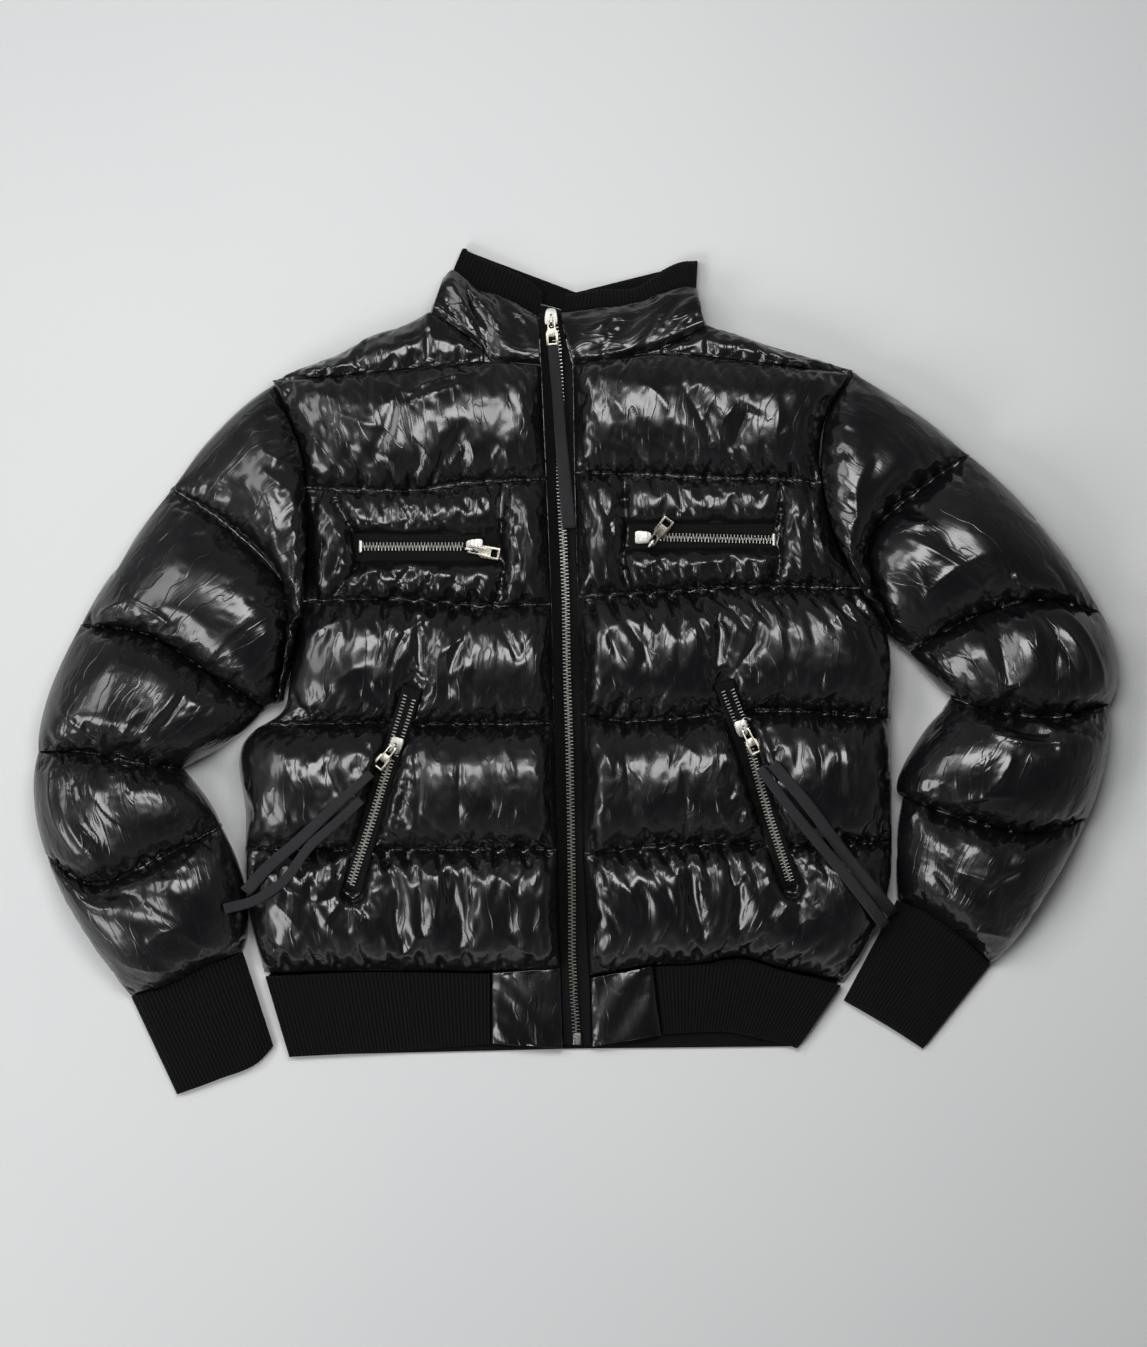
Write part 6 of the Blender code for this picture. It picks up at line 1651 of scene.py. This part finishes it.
def make_main_zip(trim):
    """The main zip: two tapes that rise and fall with the jacket's edge, the closed chain of teeth, its
    bottom stop, and the slider with its pull at the throat."""
    y = np.linspace(315.5, -330.5, 216)
    middle = zip_middle(y)
    for side in (0, 1):
        away = 1 if side else -1
        border = at_zip(y, [(b, a) for a, b in zip_border(side)]) - away * 0.5
        u = np.array([0, 0.08, 0.16, 0.3, 0.5, 0.7, 0.85, 1])
        x = border[:, None] * (1 - u) + (middle[:, None] + away * 0.4) * u
        y_all, level = (np.repeat(column[:, None], len(u), 1) for column in (y, zip_level(y)))
        cord = np.exp(-((np.arange(len(u)) - 1) ** 2) / 0.8) * 0.9
        flat = (float(np.abs(border - middle).mean()) * MM, 0.647)
        tape(f"zip_tape_{WORDS[side]}", np.dstack([x, y_all, level]), TAPE_THICK, cord, flat)
    path = np.column_stack([middle, y])[2:]
    pitch, high = trim.tooth_pitch / MM, TEETH_THICK + SEAM_GAP
    teeth = teeth_mesh(path, lambda p: zip_level(p[:, 1]) + TAPE_THICK, pitch, high, TEETH_HALF)
    chain("zip_chain", [teeth, stop(3.6, 5, 1.2, 2.4, (1, -325, 8.0))], "zip_teeth")
    z = zip_level(MAIN_SLIDER[1] - SLIDER_LONG / 2) + TAPE_THICK + TEETH_THICK + 2 * SEAM_GAP
    z += SLIDER_HIGH / 2
    slider("zip_slider", (*MAIN_SLIDER, z), -math.pi / 2, *MAIN_PULL)
    pull("zip_pull", z + SLIDER_HIGH / 2, *MAIN_PULL, -3, SHORT_PULL_LONG)


def turn_of(start, end):
    """The direction in plan from one place to another, as an angle."""
    return math.atan2(end[1] - start[1], end[0] - start[0])


def slider(name, place, turn, bar, end):
    """A slider: a waisted plate with rounded edges over a narrower lower plate, and the arch that stands
    over the pull's bar."""
    x, y, z = place
    lower_shape = rounded([(x * 0.97, y * 0.93) for x, y in SLIDER_SHAPE], 2.0)
    body = plate([rounded(SLIDER_SHAPE, 2.0)], SLIDER_HIGH * 0.55, 0.6, (x, y, z + SLIDER_HIGH * 0.22), turn)
    foot = plate([lower_shape], SLIDER_HIGH * 0.5, 0.4, (x, y, z - SLIDER_HIGH * 0.25), turn)
    outside, inside = 4.6, 3.4
    half = [(-outside, -1.0), (-outside, 2.6), (-inside, 4.2)]
    profile = half + [(-x, y) for x, y in half[::-1]]
    opening = [(-inside, -0.5), (inside, -0.5), (inside, 3.0), (-inside, 3.0)]
    loops, top = [rounded(profile, 1.6), rounded(opening, 0.8)], z + SLIDER_HIGH / 2
    arch = plate(loops, 2.2, 0.35, (*bar, top), turn_of(bar, end), stand=True)
    dress(mesh_object(f"{name}_cast", *joined([body, foot, arch]), CAST_ANGLE), "zip_metal", name)


def pull(name, top, bar, end, tilt, length, body="jacket"):
    """A pull: a bevelled tab with a slot behind its bar and a square hole at its far end."""
    half = [(-1.1, -3.6), (9, -3.6), (11.5, -5.5), (length - 1, -5.5)]
    edge = half + [(x, -y) for x, y in half[::-1]]
    slot = [(1.1, -2.1), (1.1, 2.1), (8, 2.1), (8, -2.1)]
    hole = [(length - 8.5, -3.2), (length - 8.5, 3.2), (length - 3, 3.2), (length - 3, -3.2)]
    loops = [rounded(edge, 1.3), rounded(slot, 0.8), rounded(hole, 0.5)]
    made = plate(loops, 1.2, 0.28, (*bar, top + 0.8 + 0.6), turn_of(bar, end), math.radians(tilt))
    dress(mesh_object(f"{name}_tab", *made, CAST_ANGLE), "pull_metal", name, body=body)


def make_chest_zip(side, pitch):
    """A chest zip, flat in its box, with a stop at its closed end."""
    word, (xs, ys) = WORDS[side], CHEST_TAPES[side]
    x, y = np.meshgrid(np.linspace(*xs, 44), np.linspace(*ys, 12))
    level = CHEST_ZIP_Z + SEAM_GAP
    low = np.dstack([x.T, y.T, np.full(x.T.shape, level)])
    flat = ((xs[1] - xs[0]) * MM, (ys[1] - ys[0]) * MM)
    tape(f"chest_tape_{word}", low, POCKET_TAPE_THICK, pocket_cord(12), flat)
    level += POCKET_TAPE_THICK
    teeth = teeth_mesh(CHEST_TEETH[side], level, pitch, POCKET_TEETH_THICK, POCKET_TEETH_HALF)
    end = stop(1.4, 5.5, 0.8, 2.6, (*CHEST_TEETH[side][side], level + 1.4))
    chain(f"chest_chain_{word}", [teeth, end], f"chest_teeth_{word}")
    place, turn, bar, far, tilt = CHEST_SLIDERS[side]
    z = level + SEAM_GAP + SLIDER_HIGH / 2
    slider(f"chest_slider_{word}", (*place, z), math.radians(turn), bar, far)
    pull(f"chest_pull_{word}", z + SLIDER_HIGH / 2, bar, far, tilt, PULL_LONG, body=f"pull_{word}")


def make_hand_zip(side, pitch, ground):
    """A hand pocket's zip, which lies in its valley with its upper end open."""
    word, path = WORDS[side], HAND_TAPES[side]
    grid = strip_grid(path, HAND_TAPE_WIDTH, 3.0, 10, ground, lift=1.6, reach=0, edge=2)
    flat = (float(length_of(path)) * MM, HAND_TAPE_WIDTH * MM)
    tops = tape(f"hand_tape_{word}", grid, POCKET_TAPE_THICK, pocket_cord(10), flat)[:, 5]

    def level_at(spot):
        """The level of the tape's upper side, less a little, so that the teeth sit in it."""
        return np.interp(-spot[:, 1], -tops[:, 1], tops[:, 2]) - 0.2

    start, end = np.array(path[0], float), np.array(HAND_TEETH[side][0], float)
    opened = [start + (end - start) * s for s in (0.12, 0.5, 0.98)]
    teeth = teeth_mesh(HAND_TEETH[side], level_at, pitch, POCKET_TEETH_THICK, POCKET_TEETH_HALF)
    open_teeth = teeth_mesh(opened, level_at, pitch, 2.2, 2.4, open_by=3.4)
    chain(f"hand_chain_{word}", [teeth, open_teeth], f"hand_teeth_{word}")
    place, bar, far = HAND_SLIDERS[side]
    z = float(level_at(np.array([place]))[0]) + POCKET_TEETH_THICK + SLIDER_HIGH / 2
    slider(f"hand_slider_{word}", (*place, z), turn_of(path[2], path[1]), bar, far)
    pull(f"hand_pull_{word}", z + SLIDER_HIGH / 2, bar, far, 6, SHORT_PULL_LONG)


def make_pocket_zips(trim):
    """The chest zips and the hand pockets' zips, whose teeth are a little closer than the main zip's."""
    ground = Ground([f"front_{word}_shell" for word in WORDS])
    pitch = trim.tooth_pitch / MM * 0.94
    for side in (0, 1):
        make_chest_zip(side, pitch)
        make_hand_zip(side, pitch, ground)


# ---------------------------------------------------------------- ribbons and thread
def make_ribbons():
    """The grosgrain ribbons: each a flat strip that starts at its pull and lies over the quilting, drawn
    straight between the high places."""
    names = [f"{kind}_{word}_shell" for kind in ("front", "yoke", "sleeve") for word in WORDS]
    names += ["collar_shell_cloth", "zip_chain", "zip_pull_tab", "zip_slider_cast"]
    hand_parts = ("hand_chain_{}", "hand_pull_{}_tab", "hand_tape_{}_weave")
    names += [name.format(word) for name in hand_parts for word in WORDS]
    for name, (path, width) in RIBBONS.items():
        ground = Ground(names)
        grid = strip_grid(path, width, 2.0, 7, ground, lift=0.6, taut=160)
        over = grid + np.array([0, 0, RIBBON_THICK])
        over[:, [0, -1], 2] -= RIBBON_THICK * 0.3
        made = wall_solid(f"{name}_weave", over, grid)
        length = length_of(path)
        rows, columns = grid.shape[:2]
        at = np.tile(np.repeat(np.linspace(0, length, rows), columns), 2)
        uv_map(made, "along", np.stack([at, 0 * at], 1))
        dress(made, "grosgrain", name)
        names.append(made.name)


def make_stitches():
    """Thread along the fronts' quilt lines and beside the main zip."""
    for word in WORDS:
        grid, rows = PATHS[f"front_{word}"], PATHS[f"front_{word}_rows"]
        paths = [grid[row] + np.array([0, 0, 0.25]) for row in rows]
        paths.append(grid[:, 4] + np.array([0, 0, 0.2]))
        dress(mesh_object(f"front_{word}_thread", *stitch_mesh(paths, 4.2, 3.2, 0.7)), "zip_tape")


# ---------------------------------------------------------------- stage
def make_stage():
    """A pale floor, a soft light nearly overhead and two wide ones from the left, a dim sky, and a camera
    straight above."""
    scene = bpy.context.scene
    scene.view_settings.view_transform = "Standard"
    corners = [(x * FLOOR_HALF, y * FLOOR_HALF, FLOOR_Z) for x, y in SQUARE]
    floor = mesh_object("floor", corners, [[0, 1, 2, 3]])
    tree, shader = begin("Matte board", {"Roughness": 0.9, "Specular IOR Level": 0.1})
    tint(tree, shader, noise(tree, scaled(tree, 400), 2.0), linear("#d2d3d4"), linear("#d8d8d8"))
    floor.data.materials.append(bpy.data.materials["Matte board"])
    world = bpy.data.worlds.new("studio")
    world.use_nodes = True
    tree = world.node_tree
    up = node(tree, "SeparateXYZ", {0: node(tree, "TexCoord").outputs["Generated"]}).outputs["Z"]
    glow = spread(tree, up, 0.15, 0.85, ROOM_GLOW[0], ROOM_GLOW[1])
    tree.links.new(glow, tree.nodes["Background"].inputs["Strength"])
    tree.nodes["Background"].inputs["Color"].default_value = (0.96, 0.98, 1.0, 1.0)
    scene.world = world
    for name, place, width, height, watts in LIGHTS:
        lamp = bpy.data.lights.new(name, "AREA")
        lamp.shape, lamp.size, lamp.size_y, lamp.energy = "RECTANGLE", width, height, watts
        made = bpy.data.objects.new(name, lamp)
        scene.collection.objects.link(made)
        made.location = place
        made.rotation_euler = Vector(place).to_track_quat("Z", "Y").to_euler()
    lens = bpy.data.cameras.new("camera")
    lens.sensor_fit, lens.sensor_height, lens.sensor_width = "VERTICAL", 36, 36
    lens.lens = 36 * (CAMERA_HIGH - SHARP_Z) / (IMAGE_PIXELS[1] * PIXEL_MM * MM)
    lens.clip_end = 20
    camera = bpy.data.objects.new("camera", lens)
    scene.collection.objects.link(camera)
    camera.location = (CAMERA_AT[0] * MM, CAMERA_AT[1] * MM, CAMERA_HIGH)
    scene.camera = camera


# ---------------------------------------------------------------- the operators
class JACKET_OT_stage(bpy.types.Operator):
    """Lays the pale floor, and sets the soft lights and the camera straight above"""

    bl_idname = "jacket.stage"
    bl_label = "Stage"

    def execute(self, context):
        make_stage()
        return {"FINISHED"}


class JACKET_OT_fronts(bpy.types.Operator):
    """Lays out both quilted fronts and the yokes above them"""

    bl_idname = "jacket.fronts"
    bl_label = "Fronts and yokes"

    def execute(self, context):
        cloth = context.scene.jacket_cloth
        for side in (0, 1):
            grid, held, rows = front_grid(side, cloth)
            lay(f"front_{WORDS[side]}", grid, held, finish_front(side, rows))
            grid, held = yoke_grid(side, cloth)
            lay(f"yoke_{WORDS[side]}", grid, held, finish_yoke(side), cap=4)
        return {"FINISHED"}


class JACKET_OT_sleeves(bpy.types.Operator):
    """Lays out both quilted sleeves"""

    bl_idname = "jacket.sleeves"
    bl_label = "Sleeves"

    def execute(self, context):
        for side in (0, 1):
            grid, held, top_count, rows = sleeve_grid(side, context.scene.jacket_cloth)
            lay(f"sleeve_{WORDS[side]}", grid, held, finish_sleeve(side, top_count, rows), wrap=True)
        return {"FINISHED"}


class JACKET_OT_fill(bpy.types.Operator):
    """Blows up the laid-out panels with their spare cloth, then creases and closes each"""

    bl_idname = "jacket.fill"
    bl_label = "Fill the quilting"

    def execute(self, context):
        fill_cloths(context.scene.jacket_cloth)
        for item in CLOTHS:
            made = item["finish"](item["grid"])
            bpy.data.objects.remove(item["cloth"])
        CLOTHS.clear()
        return {"FINISHED"}


class JACKET_OT_back(bpy.types.Operator):
    """Builds the back, whose quilting is pressed flat on the floor"""

    bl_idname = "jacket.back"
    bl_label = "Back"

    def execute(self, context):
        make_back(context.scene.jacket_cloth)
        return {"FINISHED"}


class JACKET_OT_collar(bpy.types.Operator):
    """Builds the collar's creased shell and its ribbed band"""

    bl_idname = "jacket.collar"
    bl_label = "Collar"

    def execute(self, context):
        make_collar(context.scene.jacket_trim)
        return {"FINISHED"}


class JACKET_OT_bands(bpy.types.Operator):
    """Knits both cuffs and the hem band, and sews on the two hem tabs"""

    bl_idname = "jacket.bands"
    bl_label = "Cuffs, hem band and tabs"

    def execute(self, context):
        trim = context.scene.jacket_trim
        for side in (0, 1):
            make_cuff(side, trim)
            make_tab(side)
        make_hem(trim)
        return {"FINISHED"}


class JACKET_OT_zips(bpy.types.Operator):
    """Sews in the zips: tapes, teeth and sliders"""

    bl_idname = "jacket.zips"
    bl_label = "Zips"

    def execute(self, context):
        trim = context.scene.jacket_trim
        make_main_zip(trim)
        make_pocket_zips(trim)
        return {"FINISHED"}


class JACKET_OT_ribbons(bpy.types.Operator):
    """Ties the grosgrain ribbons to their pulls"""

    bl_idname = "jacket.ribbons"
    bl_label = "Ribbons"

    def execute(self, context):
        make_ribbons()
        return {"FINISHED"}


class JACKET_OT_stitches(bpy.types.Operator):
    """Sews the quilt lines and the zips' edges with thread"""

    bl_idname = "jacket.stitches"
    bl_label = "Stitches"

    def execute(self, context):
        make_stitches()
        return {"FINISHED"}


STEPS = (
    JACKET_OT_stage, JACKET_OT_fronts, JACKET_OT_sleeves, JACKET_OT_fill, JACKET_OT_back, JACKET_OT_collar,
    JACKET_OT_bands, JACKET_OT_zips, JACKET_OT_ribbons, JACKET_OT_stitches,
)


class JACKET_PT_panel(bpy.types.Panel):
    """Lists the jacket's steps and settings in the 3D view's sidebar"""

    bl_label = "Puffer Jacket"
    bl_space_type = "VIEW_3D"
    bl_region_type = "UI"
    bl_category = "Jacket"

    def draw(self, context):
        for group in (context.scene.jacket_cloth, context.scene.jacket_trim):
            box = self.layout.box()
            for name in group.__annotations__:
                box.prop(group, name)
        for step in STEPS:
            self.layout.operator(step.bl_idname)


CLASSES = (JacketCloth, JacketTrim, *STEPS, JACKET_PT_panel)


def register():
    """Adds the classes and the two groups of settings."""
    for cls in CLASSES:
        bpy.utils.register_class(cls)
    bpy.types.Scene.jacket_cloth = bpy.props.PointerProperty(type=JacketCloth)
    bpy.types.Scene.jacket_trim = bpy.props.PointerProperty(type=JacketTrim)


def unregister():
    """Takes them away again."""
    del bpy.types.Scene.jacket_trim
    del bpy.types.Scene.jacket_cloth
    for cls in reversed(CLASSES):
        bpy.utils.unregister_class(cls)


def main():
    """Builds the jacket step by step."""
    register()
    for step in STEPS:
        group, name = step.bl_idname.split(".")
        getattr(getattr(bpy.ops, group), name)()


if __name__ == "__main__":
    main()
